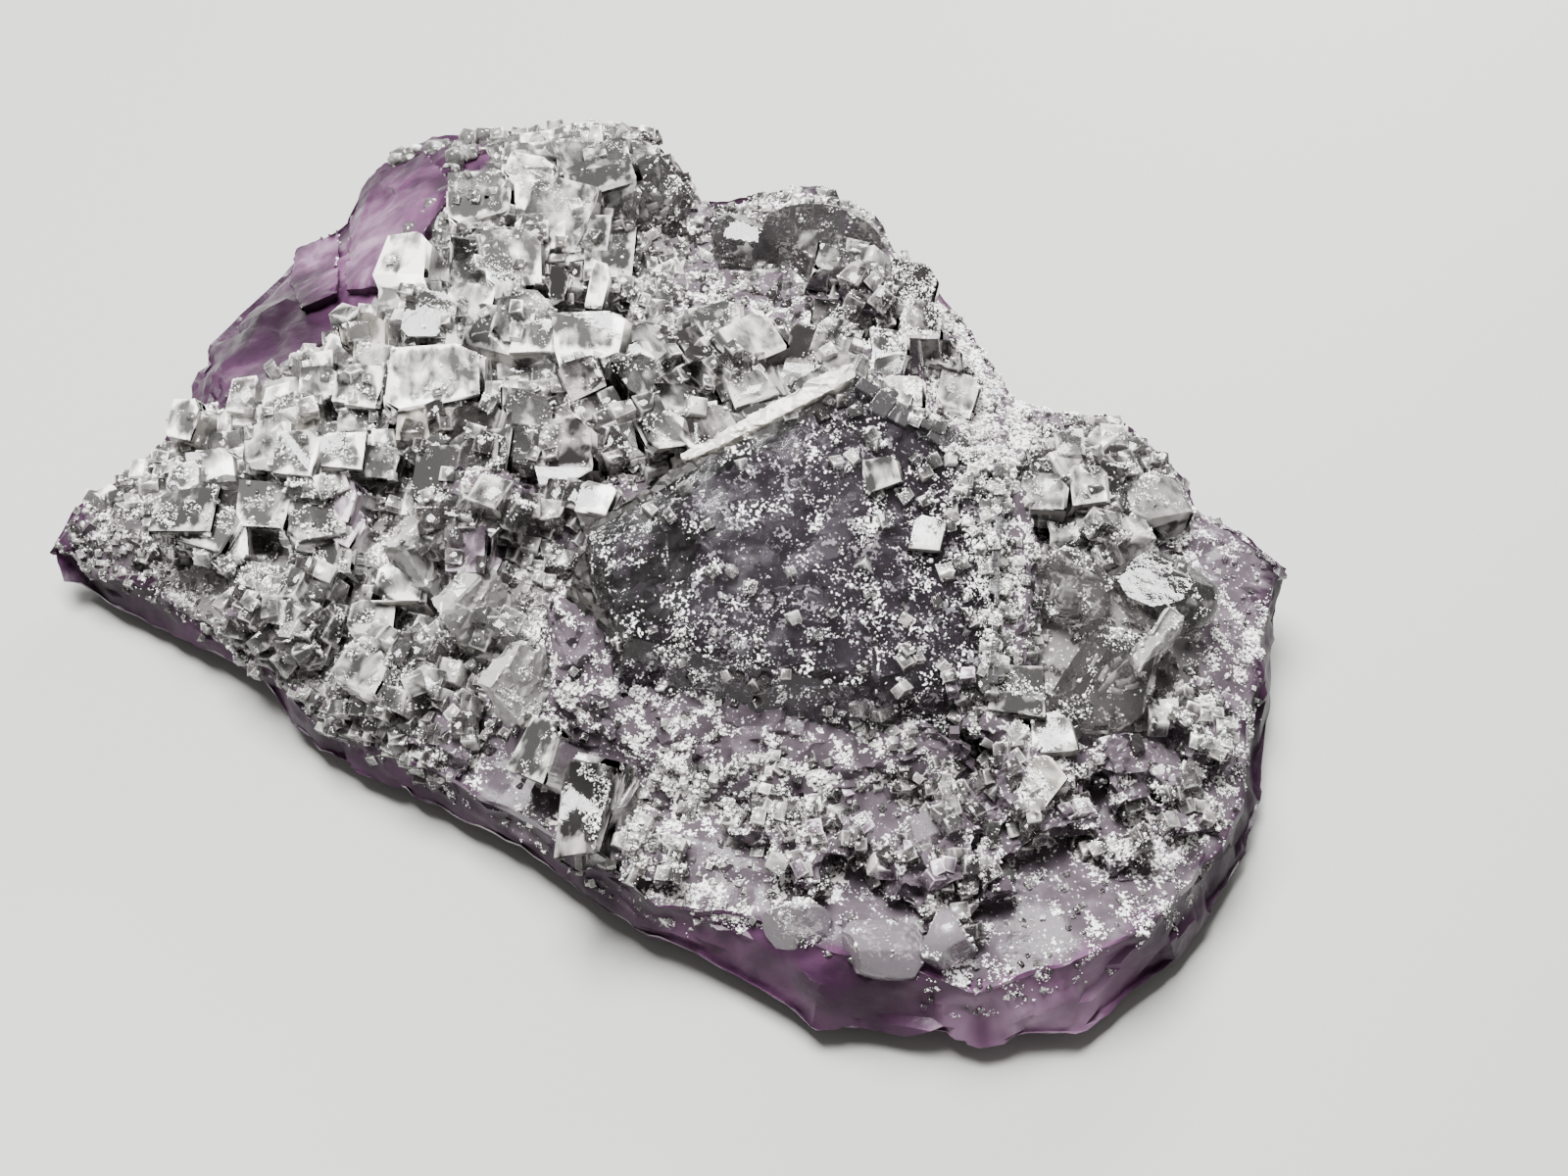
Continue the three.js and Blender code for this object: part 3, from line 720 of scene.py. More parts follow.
NEAR_SLOPE = [
    (-7.4, -14.9, 17), (-1, -18.6, 18.6), (15.6, -22.3, 15.4), (24, -26, 13), (15.6, -27.6, 12),
    (3, -28, 11), (-7, -20.8, 13), (-8.6, -14, 8), (-8, -22.4, 7), (3, -30, 7),
    (16.5, -29.5, 7), (25, -27.5, 8),
]
NEAR_LEFT_SLAB = [
    (-23.6, -18.4, 7.4), (-19, -21.4, 7.6), (-12.4, -24.2, 8.4), (-12.6, -19.6, 10.2),
    (-22.6, -15.6, 9.2), (-24, -18.8, 3), (-14.4, -25, 3), (-11, -18, 4), (-22, -14, 4),
]
BRIGHT_PLATE = [
    (-27.3, 39.3, 10), (-21.7, 39.4, 13.5), (-17.7, 30.1, 16.8), (-20.3, 23.1, 17),
    (-23.3, 17.6, 16.6), (-26.7, 20, 14), (-29.1, 34.6, 8.6), (-22, 36, 6), (-20, 20, 6),
]
LILAC_PLATE = [
    (-33.4, 27, 8.4), (-33.9, 34, 6.4), (-29.2, 34.1, 8.6), (-27, 19.9, 14),
    (-30.6, 19, 12.8), (-30, 30, 3), (-28, 22, 5),
]


def hull(name, corners, bevel=0.0):
    """A block with flat faces round its corners, in mm, with edges bevelled by a width in mm."""
    bpy.ops.mesh.primitive_circle_add(vertices=len(corners), radius=1)
    piece = bpy.context.object
    piece.name = name
    for corner, place in zip(piece.data.vertices, corners):
        corner.co = Vector(place) * MM
    edit(piece)
    bpy.ops.mesh.select_all(action="SELECT")
    bpy.ops.mesh.convex_hull()
    bpy.ops.mesh.select_all(action="SELECT")
    bpy.ops.mesh.tris_convert_to_quads(face_threshold=math.radians(3), shape_threshold=math.pi)
    leave_edit()
    if bevel:
        modifier = piece.modifiers.new("worn edges", "BEVEL")
        modifier.width = bevel * MM
        modifier.segments = 2
        modifier.limit_method = "ANGLE"
        apply_all(piece)
    return piece


def chip_block(piece, edge, size, depth, faces):
    """Cuts a block's faces to about one edge length in mm, chips them and keeps crisp planes."""
    modifier = piece.modifiers.new("fine", "REMESH")
    modifier.mode = "VOXEL"
    modifier.voxel_size = edge * MM
    apply_all(piece)
    chip(piece, size, depth)
    collapsed(piece, faces)


BAND_DEPTH = 2.5
BAND_GAP = 0.04


def strip(start, end, inward, width, height, parts, draws):
    """A broken band of flat blocks from start to end, in mm, each a little out of line."""
    start, end, inward = (np.array(value, float) for value in (start, end, inward))
    pieces = []
    for number in range(parts):
        near, far = (between(start, end, (number + step) / parts) for step in (0, 1 - BAND_GAP))
        wide = width * draws.uniform(0.35, 1.4)
        lift = np.array([0, 0, height * draws.uniform(0.1, 1)])
        out = -inward * draws.uniform(0, 0.25)
        top = [near + out, far + out, near + inward * wide, far + inward * wide]
        corners = [place + lift for place in top] + [place - (0, 0, BAND_DEPTH) for place in top]
        pieces.append(hull("band", corners, bevel=0.08))
    return pieces


def joined(name, pieces):
    """Some pieces as one."""
    bpy.ops.object.select_all(action="DESELECT")
    for piece in pieces:
        piece.select_set(True)
    bpy.context.view_layer.objects.active = pieces[0]
    bpy.ops.object.join()
    pieces[0].name = name
    bpy.ops.object.select_all(action="DESELECT")
    return pieces[0]


# %% The great crystal's clear layer and dark core
CORE_INSET = 1.3
CORE_DROP = 0.45
CORE_FOOT = 0.9

great = hull("great_crystal", GREAT_TOP + GREAT_FOOT, bevel=0.35)
core_top = []
centre = np.mean(GREAT_TOP, 0)
for x, y, z in GREAT_TOP:
    out = np.array([x, y]) - centre[:2]
    inner = centre[:2] + out * (1 - CORE_INSET / np.hypot(*out))
    core_top.append((*inner, z - CORE_DROP))
core_foot = []
for x, y, z in GREAT_FOOT:
    core_foot.append((between(centre[0], x, CORE_FOOT), between(centre[1], y, CORE_FOOT), z))
core = hull("great_core", core_top + core_foot)
chip_block(core, edge=0.45, size=2.4, depth=0.35, faces=9000)
print(core.name, len(core.data.polygons), "faces")


# %% Steps, slopes, plates and the blade
def chipped_blocks(tables, **cut):
    """One chipped block for each table of corners."""
    blocks = []
    for corners in tables:
        blocks.append(hull("block", corners))
        chip_block(blocks[-1], **cut)
    return blocks


steps = chipped_blocks(
    (RIGHT_STEP, NEAR_SLOPE, NEAR_LEFT_SLAB), edge=0.4, size=1.7, depth=0.7, faces=8000
)
dark_steps = joined("dark_steps", [core, *steps])
flank = joined("violet_plates", chipped_blocks(
    (BRIGHT_PLATE, LILAC_PLATE), edge=0.4, size=6, depth=0.4, faces=3000
))
for piece in (flank, dark_steps):
    note_tone(piece)
    smooth_faces(piece, degrees=35)
    print(piece.name, len(piece.data.polygons), "faces")
blade, root = chipped_blocks(
    (RIDGE_BLADE, BLADE_ROOT), edge=0.22, size=1.9, depth=0.4, faces=3600
)
blade.name, root.name = "ridge_blade", "blade_root"
print([(piece.name, len(piece.data.polygons)) for piece in (blade, root)])

# %% The pale rim
band_draws = np.random.default_rng(3)
rim = joined("pale_rim", [
    *strip((15.6, -2.4, 25.9), (22.6, -5.2, 23), (-0.55, -0.8, -0.2), 1.9, 0.35, 5, band_draws),
    *strip((22.6, -5.2, 23), (26, -6.4, 21), (-0.6, -0.7, -0.2), 1.4, 0.3, 3, band_draws),
    *strip((26, -6.6, 21), (24.9, -23.1, 16.1), (-1, 0, 0.1), 0.5, 0.7, 15, band_draws),
])
print(rim.name, len(rim.data.polygons), "faces")

# %% The blade's broken end
broken_end, = chipped_blocks((BROKEN_END,), edge=0.3, size=1.5, depth=0.8, faces=6000)
broken_end.name = "broken_end"
print(broken_end.name, len(broken_end.data.polygons), "faces")


# %% [markdown]
# ## Clear, milky and violet finishes
# The cubes are clear fluorite full of fine cleavage veils, so most look grey or milky and only
# some are see-through. Each cube carries a number of its own, its tint, that shifts how milky
# and how light it is, because a crust where all cubes are alike looks printed.

# %% Crystal finishes
def veils(add, join, size, own):
    """Milky veils, 0 to 1: soft sheets about size mm apart that follow two pairs of cube faces.

    They lie in the crystal's own mm where the piece carries them, else in Object coordinates.
    """
    if own:
        place, unit = add("ShaderNodeAttribute", attribute_name="inner").outputs["Vector"], 1
    else:
        place, unit = add("ShaderNodeTexCoord").outputs["Object"], MM
    sheets = []
    for flat in ((0.7, 0.6, 1.5), (1.4, 0.7, 0.6)):
        scaled = add("ShaderNodeMapping")
        scaled.inputs["Scale"].default_value = Vector(flat) / (size * unit)
        join(place, scaled.inputs["Vector"])
        noise_in_sheets = add("ShaderNodeTexNoise", Scale=1.0, Detail=3.0, Distortion=0.35)
        join(scaled.outputs["Vector"], noise_in_sheets.inputs["Vector"])
        sheets.append(noise_in_sheets.outputs["Fac"])
    total = math_of(add, join, "ADD", *sheets)
    return math_of(add, join, "MULTIPLY", total, 0.5)


def near_rim(add, join):
    """How near an edge of its crystal a place lies: the second largest of its own x, y and z."""
    axes = add("ShaderNodeSeparateXYZ")
    join(add("ShaderNodeAttribute", attribute_name="unit").outputs["Vector"], axes.inputs["Vector"])
    x, y, z = (math_of(add, join, "ABSOLUTE", output, 0) for output in axes.outputs)
    smaller, larger = (math_of(add, join, kind, x, y) for kind in ("MINIMUM", "MAXIMUM"))
    return math_of(add, join, "MAXIMUM", smaller, math_of(add, join, "MINIMUM", larger, z))


def crystal_finish(
    name, clear, milky, see_through, roughness, veil, own=True, powder=None, shine=0.7
):
    """See-through crystal that turns milky in veils, veil mm apart, and at its edges, as wear and
    painted highlight.

    see_through and roughness are (least, most). own says that the piece is made of copies, which
    carry their own coordinates. powder is how much dust lies on it, and shine how glossy it is.
    """
    material, shader, add, join = new_finish(name)
    veiled = veils(add, join, veil, own)
    tint = spread(add, join, noted(add, "tint"), -0.09, 0.09, 0, 1)
    cloudy = math_of(add, join, "ADD", veiled, tint)
    uneven = spread(add, join, veiled, -0.12, 0.12)
    # Near a crystal's edges it turns whiter: partly wear, partly a painted highlight where edges
    # catch the light.
    lit_and_worn_rim = math_of(add, join, "ADD", near_rim(add, join), uneven)
    edge = spread(add, join, lit_and_worn_rim, -0.03, 0.11, 0.38, 0.5)
    cloudy = math_of(add, join, "ADD", cloudy, edge)
    middle = tuple(0.6 * a + 0.4 * b for a, b in zip(clear, milky))
    colour = ramp(add, join, cloudy, [(0.45, clear), (0.56, middle), (0.67, milky)])
    through = spread(add, join, cloudy, see_through[1], see_through[0], 0.46, 0.66)
    rough = spread(add, join, veiled, roughness[0], roughness[1])
    if powder is not None:
        white = dust(add, join, powder)
        colour = blend(add, join, white, colour, WHITE)
        clean = math_of(add, join, "SUBTRACT", 1.0, white)
        through = math_of(add, join, "MULTIPLY", through, clean)
        rough = math_of(add, join, "MAXIMUM", rough, white)
    join(colour, shader.inputs["Base Color"])
    join(through, shader.inputs["Transmission Weight"])
    join(rough, shader.inputs["Roughness"])
    shader.inputs["IOR"].default_value = FLUORITE_IOR
    shader.inputs["Specular IOR Level"].default_value = shine
    fine = pattern(add, join, veil * 0.5, detail=4)
    relief(add, join, shader, fine.outputs["Fac"], 0.25, 0.15)
    return material


GREY_CLEAR = crystal_finish(
    "grey clear fluorite", (0.42, 0.41, 0.4), (0.6, 0.585, 0.56), (0.3, 0.94), (0.01, 0.16), 1.6
)
MILKY = crystal_finish(
    "milky fluorite", (0.46, 0.45, 0.435), (0.86, 0.84, 0.8), (0.12, 0.9), (0.02, 0.2), 1.7
)
SMOKY = crystal_finish(
    "smoky fluorite", (0.22, 0.205, 0.2), (0.38, 0.36, 0.355), (0.25, 0.95), (0.01, 0.18), 1.5
)
LILAC = crystal_finish(
    "lilac fluorite", (0.27, 0.21, 0.26), (0.64, 0.57, 0.61), (0.15, 0.8), (0.04, 0.3), 1.8
)
CREAM = crystal_finish(
    "cream fluorite", (0.3, 0.28, 0.25), (0.58, 0.55, 0.49), (0.25, 0.8), (0.08, 0.28), 2.4
)
OUTER = crystal_finish(
    "clear outer layer", (0.34, 0.32, 0.36), (0.36, 0.34, 0.37), (0.9, 1), (0.02, 0.14), 3, False,
    powder=0.02, shine=0.3,
)
RIM = crystal_finish(
    "pale rim fluorite", (0.3, 0.29, 0.3), (0.66, 0.64, 0.64), (0.1, 0.9), (0.06, 0.3), 0.9, False
)
BROWNISH = crystal_finish(
    "grey brown fluorite", (0.035, 0.033, 0.031), (0.1, 0.094, 0.09), (0, 0.2), (0.3, 0.5), 1.2,
    False, shine=0.12,
)
BLADE = crystal_finish(
    "cream blade fluorite", (0.7, 0.68, 0.61), (0.92, 0.89, 0.81), (0.05, 0.35), (0.15, 0.35), 2,
    False,
)
print("finishes", [finish.name for finish in bpy.data.materials])


# %% Bright violet and white finishes
def bright_violet_finish():
    """Thin violet plates: by tone too, more see-through, with fine lines of growth."""
    material, shader, add, join = new_finish("bright violet fluorite")
    join(violet_colour(add, join, 0.22), shader.inputs["Base Color"])
    lines = pattern(add, join, 1.4, detail=4)
    join(spread(add, join, lines.outputs["Fac"], 0.1, 0.4), shader.inputs["Transmission Weight"])
    join(spread(add, join, lines.outputs["Fac"], 0.26, 0.55), shader.inputs["Roughness"])
    shader.inputs["IOR"].default_value = FLUORITE_IOR
    shader.inputs["Specular IOR Level"].default_value = 0.2
    relief(add, join, shader, lines.outputs["Fac"], 0.2, 0.3)
    return material


PLATE = bright_violet_finish()


def white_finish():
    """Frosted white, a little greyer in patches."""
    material, shader, add, join = new_finish("white sugar")
    patches = pattern(add, join, 5, detail=3)
    colour = ramp(add, join, patches.outputs["Fac"], [
        (0.35, (0.86, 0.84, 0.83)), (0.5, (0.94, 0.93, 0.91)), (0.65, (0.97, 0.97, 0.96)),
    ])
    join(colour, shader.inputs["Base Color"])
    shader.inputs["Roughness"].default_value = 0.35
    shader.inputs["IOR"].default_value = FLUORITE_IOR
    return material


SUGAR = white_finish()
print("finishes", PLATE.name, SUGAR.name)


# %% Dress the blocks
def dress(piece, finish):
    """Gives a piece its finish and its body."""
    piece.data.materials.clear()
    piece.data.materials.append(finish)
    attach(piece, "root")
    return piece


for piece, finish, slot in (
    (dark_steps, VIOLET, "purple_fluorite"), (flank, PLATE, "purple_fluorite"),
    (great, OUTER, "clear_fluorite"), (blade, BLADE, "clear_fluorite"),
    (root, BROWNISH, "clear_fluorite"), (rim, RIM, "clear_fluorite"),
    (broken_end, BROWNISH, "purple_fluorite"),
):
    dress(piece, finish)
    print(piece.name, "in", finish.name)

# %% [markdown]
# ## Models for the crystals
# A fluorite cube grows in sheets, so its faces carry low square terraces, and many cubes are
# two or three grown as one with a step between them. A bare cube with sharp edges shows at
# once as a stand-in. Five models are made once by extruding sheets on a cube and cleaving its
# corners, one metre wide; each crystal later is a turned, stretched and bent copy of one.

# %% Crystal models
SHEETS_ON_BLOCK = 6
SHEET_SIDES = ((0, 0, 1), (0, -1, 0), (1, 0, 0), (0, 0, 1), (-1, 0, 0))
CUTS_IN_BLOCK = 3
CLEAVED_CORNERS = 2


def worn(piece, width):
    """A narrow flat along every edge."""
    modifier = piece.modifiers.new("worn edges", "BEVEL")
    modifier.width = width
    modifier.segments = 1
    apply_all(piece)


def cube(name):
    """A cube one metre wide."""
    bpy.ops.mesh.primitive_cube_add(size=1, location=(0, 0, 0))
    piece = bpy.context.object
    piece.name = name
    return piece


def grown_block(seed):
    """A cube with oblong sheets of their own heights on its faces and two corners cleaved off."""
    draws = np.random.default_rng(seed)
    piece = cube(f"grown_{seed}")
    edit(piece)
    bpy.ops.mesh.select_all(action="SELECT")
    bpy.ops.mesh.subdivide(number_cuts=CUTS_IN_BLOCK)
    leave_edit()
    grid = np.linspace(-0.5, 0.5, CUTS_IN_BLOCK + 2)
    shifted = grid + np.array([[0, 1, 1, 1, 0]]) * draws.uniform(-0.1, 0.1, (3, len(grid)))
    for corner in piece.data.vertices:
        lines = [np.abs(grid - value).argmin() for value in corner.co]
        corner.co = [shifted[axis][line] for axis, line in enumerate(lines)]
    for number in range(SHEETS_ON_BLOCK):
        direction = Vector(SHEET_SIDES[number % len(SHEET_SIDES)])
        centre, reach = draws.uniform(-0.35, 0.35, 3), draws.uniform(0.2, 0.5, 3)
        for face in piece.data.polygons:
            along = face.center.dot(direction)
            beside = np.abs(np.array(face.center) - centre) < reach
            faces_it = face.normal.dot(direction) > 0.9 and along > 0.45
            face.select = bool(faces_it and beside.sum() >= 2)
        edit(piece)
        bpy.ops.mesh.extrude_region_move(
            TRANSFORM_OT_translate={"value": direction * draws.uniform(0.03, 0.12)}
        )
        leave_edit()
    for _ in range(CLEAVED_CORNERS):
        normal = Vector((*draws.choice([-1, 1], 2), draws.choice([0.4, 1]))).normalized()
        reach = max(Vector(corner.co).dot(normal) for corner in piece.data.vertices)
        edit(piece)
        bpy.ops.mesh.select_all(action="SELECT")
        bpy.ops.mesh.bisect(
            plane_co=normal * (reach - draws.uniform(0.08, 0.24)), plane_no=normal,
            use_fill=True, clear_outer=True,
        )
        leave_edit()
    edit(piece)
    bpy.ops.mesh.select_all(action="SELECT")
    bpy.ops.mesh.dissolve_limited(angle_limit=math.radians(1))
    leave_edit()
    in_order(piece)
    worn(piece, 0.022)
    in_order(piece)
    return piece


MODELS = [grown_block(seed) for seed in range(5)]
SMALL = cube("small")
worn(SMALL, 0.03)
GRAIN = cube("grain")
bpy.ops.mesh.primitive_cone_add(vertices=3, radius1=0.62, depth=0.95)
SPECK = bpy.context.object
bpy.ops.mesh.primitive_ico_sphere_add(subdivisions=1, radius=0.5)
GRANULE = bpy.context.object
for model in (*MODELS, SMALL, GRAIN, SPECK, GRANULE):
    print(model.name, sum(len(face.vertices) - 2 for face in model.data.polygons), "triangles")


# %% Many copies as one mesh
def turns(angles):
    """Rotation matrices from rows of (tilt, lean, spin) in degrees."""
    a, b, c = np.radians(np.asarray(angles, float)).T
    zero, one = np.zeros_like(a), np.ones_like(a)
    (sin_a, cos_a), (sin_b, cos_b), (sin_c, cos_c) = (
        (np.sin(angle), np.cos(angle)) for angle in (a, b, c)
    )
    about_x = np.array([[one, zero, zero], [zero, cos_a, -sin_a], [zero, sin_a, cos_a]])
    about_y = np.array([[cos_b, zero, sin_b], [zero, one, zero], [-sin_b, zero, cos_b]])
    about_z = np.array([[cos_c, -sin_c, zero], [sin_c, cos_c, zero], [zero, zero, one]])
    return np.einsum("ijn,jkn,kln->nil", about_z, about_y, about_x)


def warped(corners, count, amount, draws):
    """A model's corners for each copy, bent by moving the eight corners of its box at random."""
    share = np.clip(corners + 0.5, 0, 1)
    bent = np.repeat(corners[None], count, 0)
    for box_corner in np.ndindex(2, 2, 2):
        weight = np.prod(np.where(box_corner, share, 1 - share), axis=1)
        bent += weight[None, :, None] * draws.uniform(-amount, amount, (count, 1, 3))
    return bent


# How far apart the copies' own coordinates lie, so that no two share their veils.
INNER_STEP = 17.3


def copies(name, model, places, edges, angles, tints, warp=0.0):
    """One mesh of turned, stretched and a little bent copies of a model; places, edges in mm."""
    shape = model.data
    corners = np.array([corner.co for corner in shape.vertices])
    order = np.array([loop.vertex_index for loop in shape.loops])
    starts = np.array([face.loop_start for face in shape.polygons])
    count = len(places)
    bent = warped(corners, count, warp, np.random.default_rng(count))
    bent = bent * np.asarray(edges)[:, None]
    moved = np.einsum("nij,nkj->nki", turns(angles), bent)
    moved = (moved + np.asarray(places)[:, None]) * MM
    ones = np.arange(count)[:, None]
    mesh = bpy.data.meshes.new(name)
    mesh.vertices.add(count * len(corners))
    mesh.vertices.foreach_set("co", moved.astype(np.float32).ravel())
    mesh.loops.add(count * len(order))
    mesh.loops.foreach_set("vertex_index", (ones * len(corners) + order).ravel().astype(np.int32))
    mesh.polygons.add(count * len(starts))
    mesh.polygons.foreach_set("loop_start", (ones * len(order) + starts).ravel().astype(np.int32))
    for noted_name, values in (
        ("unit", np.tile(corners.ravel(), count)), ("inner", bent + INNER_STEP * ones[..., None]),
    ):
        attribute = mesh.attributes.new(noted_name, "FLOAT_VECTOR", "POINT")
        attribute.data.foreach_set("vector", values.astype(np.float32).ravel())
    mesh.update(calc_edges=True)
    mesh.validate()
    piece = bpy.data.objects.new(name, mesh)
    bpy.context.collection.objects.link(piece)
    note(piece, "tint", np.repeat(tints, len(corners)))
    return piece


# %% [markdown]
# ## The large crystals
# The cubes over about 3 mm stand where the frame has them. Those that a viewer would know again
# have places of their own; the rest are drawn in fields that share one turn, because crystals
# of one growth lie parallel. In the far left field their edges lie across the view; beyond the
# great crystal they are turned by about 28 degrees.

# %% Single crystals
# Each is a middle, edges, turns and a kind.
W, G, S, L, C, D, K, P = "milky", "grey", "smoky", "lilac", "cream", "crusted", "chunk", "plate"
SINGLE_CRYSTALS = [
    ((-11, 28.5, 16.2), (3.2, 3.6, 4), (14, 4, 3), W),
    ((-5.3, 9.8, 17.2), (5.6, 3.2, 4), (16, 0, 2), W),
    ((-15.4, 15.6, 15.4), (3.4, 3.4, 4), (18, 3, -5), W),
    ((-17.2, 7, 15.4), (6.6, 5.4, 5.4), (22, -3, 4), W),
    ((-26.8, 8.2, 13.8), (2.8, 3.2, 4), (20, -4, 6), W),
    ((-23.3, 7.4, 14), (3.6, 3.2, 4.2), (18, 2, -3), W),
    ((-27.7, 4.6, 13.4), (3.2, 2.8, 4), (24, -6, 2), C),
    ((-27.4, 1.2, 12.8), (3.2, 3.4, 4.2), (22, -5, -4), W),
    ((-24.2, 1.2, 13.2), (3.2, 3, 4.2), (20, 0, 5), W),
    ((-37, 6.6, 11), (2.4, 3.6, 3.6), (14, -16, -12), W),
    ((0.4, -1.2, 17.8), (3.4, 3, 4), (16, 6, 24), W),
    ((7.2, 3, 17.6), (3.2, 2.4, 4), (12, 4, 30), G),
    ((-3.5, -7.2, 16.4), (2.6, 2.4, 4.4), (10, -4, -18), W),
    ((-3, -28.6, 9), (3.4, 7.4, 5), (26, -8, -14), S),
    ((-7, -24.8, 9.2), (2.8, 4.2, 4), (20, -10, -24), G),
    ((11.3, -37.6, 8.2), (4.2, 3.2, 4), (18, 6, 16), K),
    ((17, -39.2, 8), (6.4, 3.6, 4), (20, 4, -8), K),
    ((21.4, -39.6, 8.2), (3.8, 3.4, 4.4), (24, 10, 20), K),
    ((27.6, -28.8, 10.8), (2.8, 2.8, 3.6), (10, 4, 45), C),
    ((19.6, -32, 10.4), (4, 3, 3.6), (14, -12, 12), K),
    ((26.6, -22.2, 12.2), (3.6, 3.4, 4.4), (12, 2, -6), G),
    ((28.9, -25, 11.2), (2.8, 2.8, 3.8), (14, 0, 8), G),
    ((29.8, -2.6, 12.4), (3.4, 3, 4.2), (16, 0, -10), G),
    ((33, -2, 12.2), (2.8, 3.2, 4), (12, 6, 6), G),
    ((16.7, -8.6, 21.6), (2.4, 2.2, 3), (26, 0, 18), G),
    ((20.2, -12.6, 19.6), (2.2, 2.4, 3), (26, 4, -12), G),
    ((-16.6, -8.6, 12.6), (2.2, 4.6, 5.4), (8, -24, -30), P),
    ((-12.2, -13, 12), (2, 6.2, 5.4), (10, -20, -36), P),
    ((-8.9, -19.6, 12.2), (1.8, 5, 4.6), (12, -16, -30), P),
    ((36.8, -17.4, 13), (1.8, 5.6, 5.2), (6, 14, -42), P),
    ((-5.2, 16.6, 15.4), (1.4, 4, 5.4), (12, 6, -8), W),
    ((-7.8, 16.4, 15.2), (1.4, 3.8, 5), (12, -4, -4), S),
]
# Middle, reach, turn, least and largest edge, draws, seed and the kinds that follow each other.
CRYSTAL_FIELDS = [
    ((-15, 17), (12, 16), (16, 0, 0), (3.2, 5.2), 38, 11, "WWGGGWGC"),
    ((-12, 33), (9, 6), (12, 0, 6), (3, 4.6), 16, 12, "WGWWG"),
    ((-31, 2), (10, 7), (18, -6, 0), (2.8, 4.4), 20, 13, "WWGWC"),
    ((5, 6), (11, 7), (14, 4, 28), (2.8, 4), 23, 14, "GSGGSG"),
    ((17, 15), (9, 11), (8, 6, -14), (2.8, 4.2), 22, 15, "SGDS"),
    ((36, 0), (8, 6), (10, 6, 12), (2.8, 4.2), 14, 16, "SDSG"),
    ((42, -18), (5, 13), (4, 12, -8), (2.6, 3.6), 15, 17, "D"),
    ((29, -32), (13, 9), (12, 8, 22), (2.6, 4), 26, 18, "D"),
    ((6, -33), (9, 5), (18, 0, -10), (2.6, 3.8), 14, 19, "D"),
    ((-25, -10), (17, 9), (14, -10, -18), (2.8, 4), 28, 20, "DWDGDL"),
    ((-11, -4), (6, 6), (14, -4, -12), (3, 4.6), 12, 21, "SGDG"),
]
# Middle x, y and reach in mm of the brown-black hollows of the crust, where crystals are smoky.
DARK_SPOTS = [
    (-7.5, 19, 4.6), (-2.5, 27, 3.6), (5.6, 20, 3.4), (-7, 5, 3.2), (-5.5, -3, 3.6),
    (-20, 11, 2.4), (1, 12, 2.6),
]
FIELD_SPREAD = (9, 9, 12)
EDGE_MARGIN = 2.2
HOLLOW_CLEARANCE = 4.6
LIFT_RANGE = (-0.18, 0.16)
KINDS = {"W": W, "G": G, "S": S, "L": L, "C": C, "D": D}


def in_dark_spot(x, y):
    """True in one of the dark hollows of the crust."""
    x, y = np.atleast_1d(x)[:, None], np.atleast_1d(y)[:, None]
    spots = np.array(DARK_SPOTS)
    return (np.hypot(x - spots[:, 0], y - spots[:, 1]) < spots[:, 2]).any(1)


def field_crystals():
    """The crystals of all fields, by the draws that placed them in the frame."""
    found = []
    for middle, reach, turn, edge, count, seed, kinds in CRYSTAL_FIELDS:
        draw = seeded(seed)
        for number in range(count):
            angle = draw() * 2 * math.pi
            distance = math.sqrt(draw())
            x = middle[0] + math.cos(angle) * distance * reach[0]
            y = middle[1] + math.sin(angle) * distance * reach[1]
            size = between(*edge, draw() ** 2)
            edges = [size * (0.85 + 0.35 * draw()) for _ in range(3)]
            turned = [angle + (2 * draw() - 1) * wide for angle, wide in zip(turn, FIELD_SPREAD)]
            lift = size * between(*LIFT_RANGE, draw())
            clear = math.hypot(x - FAR_HOLLOW[0], y - FAR_HOLLOW[1]) > HOLLOW_CLEARANCE
            if clear and inside_crust(x, y, EDGE_MARGIN)[0]:
                z = crust_height(x, y)[0] - CRUST_DEPTH + lift
                kind = S if in_dark_spot(x, y)[0] else KINDS[kinds[number % len(kinds)]]
                found.append(((x, y, z), edges, turned, kind))
    return found


LARGE = SINGLE_CRYSTALS + field_crystals()
print(len(LARGE), "large crystals")

# %% Large crystals by kind
CRYSTAL_FINISHES = {W: MILKY, G: GREY_CLEAR, S: SMOKY, L: LILAC, C: CREAM, D: VIOLET}
SLOTS = {kind: "clear_fluorite" for kind in (W, G, C)}
SLOTS.update({kind: "purple_fluorite" for kind in (S, L, D)})
LARGE_WARP = 0.11
PLATE_WARP = 0.16
rng = np.random.default_rng(21)


def copies_of(name, model, rows, warp):
    """Copies of a model at rows of the crystal tables, with tints of their own."""
    tints = rng.random(len(rows))
    places, edges, angles = ([row[column] for row in rows] for column in range(3))
    return copies(name, model, places, edges, angles, tints, warp)


large_pieces = []
for kind, finish in CRYSTAL_FINISHES.items():
    mine = [row for row in LARGE if row[3] == kind]
    parts = []
    for number, model in enumerate(MODELS):
        rows = mine[number::len(MODELS)]
        if rows:
            parts.append(copies_of(kind, model, rows, LARGE_WARP))
    piece = joined(f"large_{kind}_crystals", parts)
    if kind == D:
        chip_block(piece, edge=0.3, size=1.5, depth=0.8, faces=34000)
    large_pieces.append(dress(piece, finish))
    print(piece.name, len(piece.data.polygons), "faces")
crusted = large_pieces[-1]

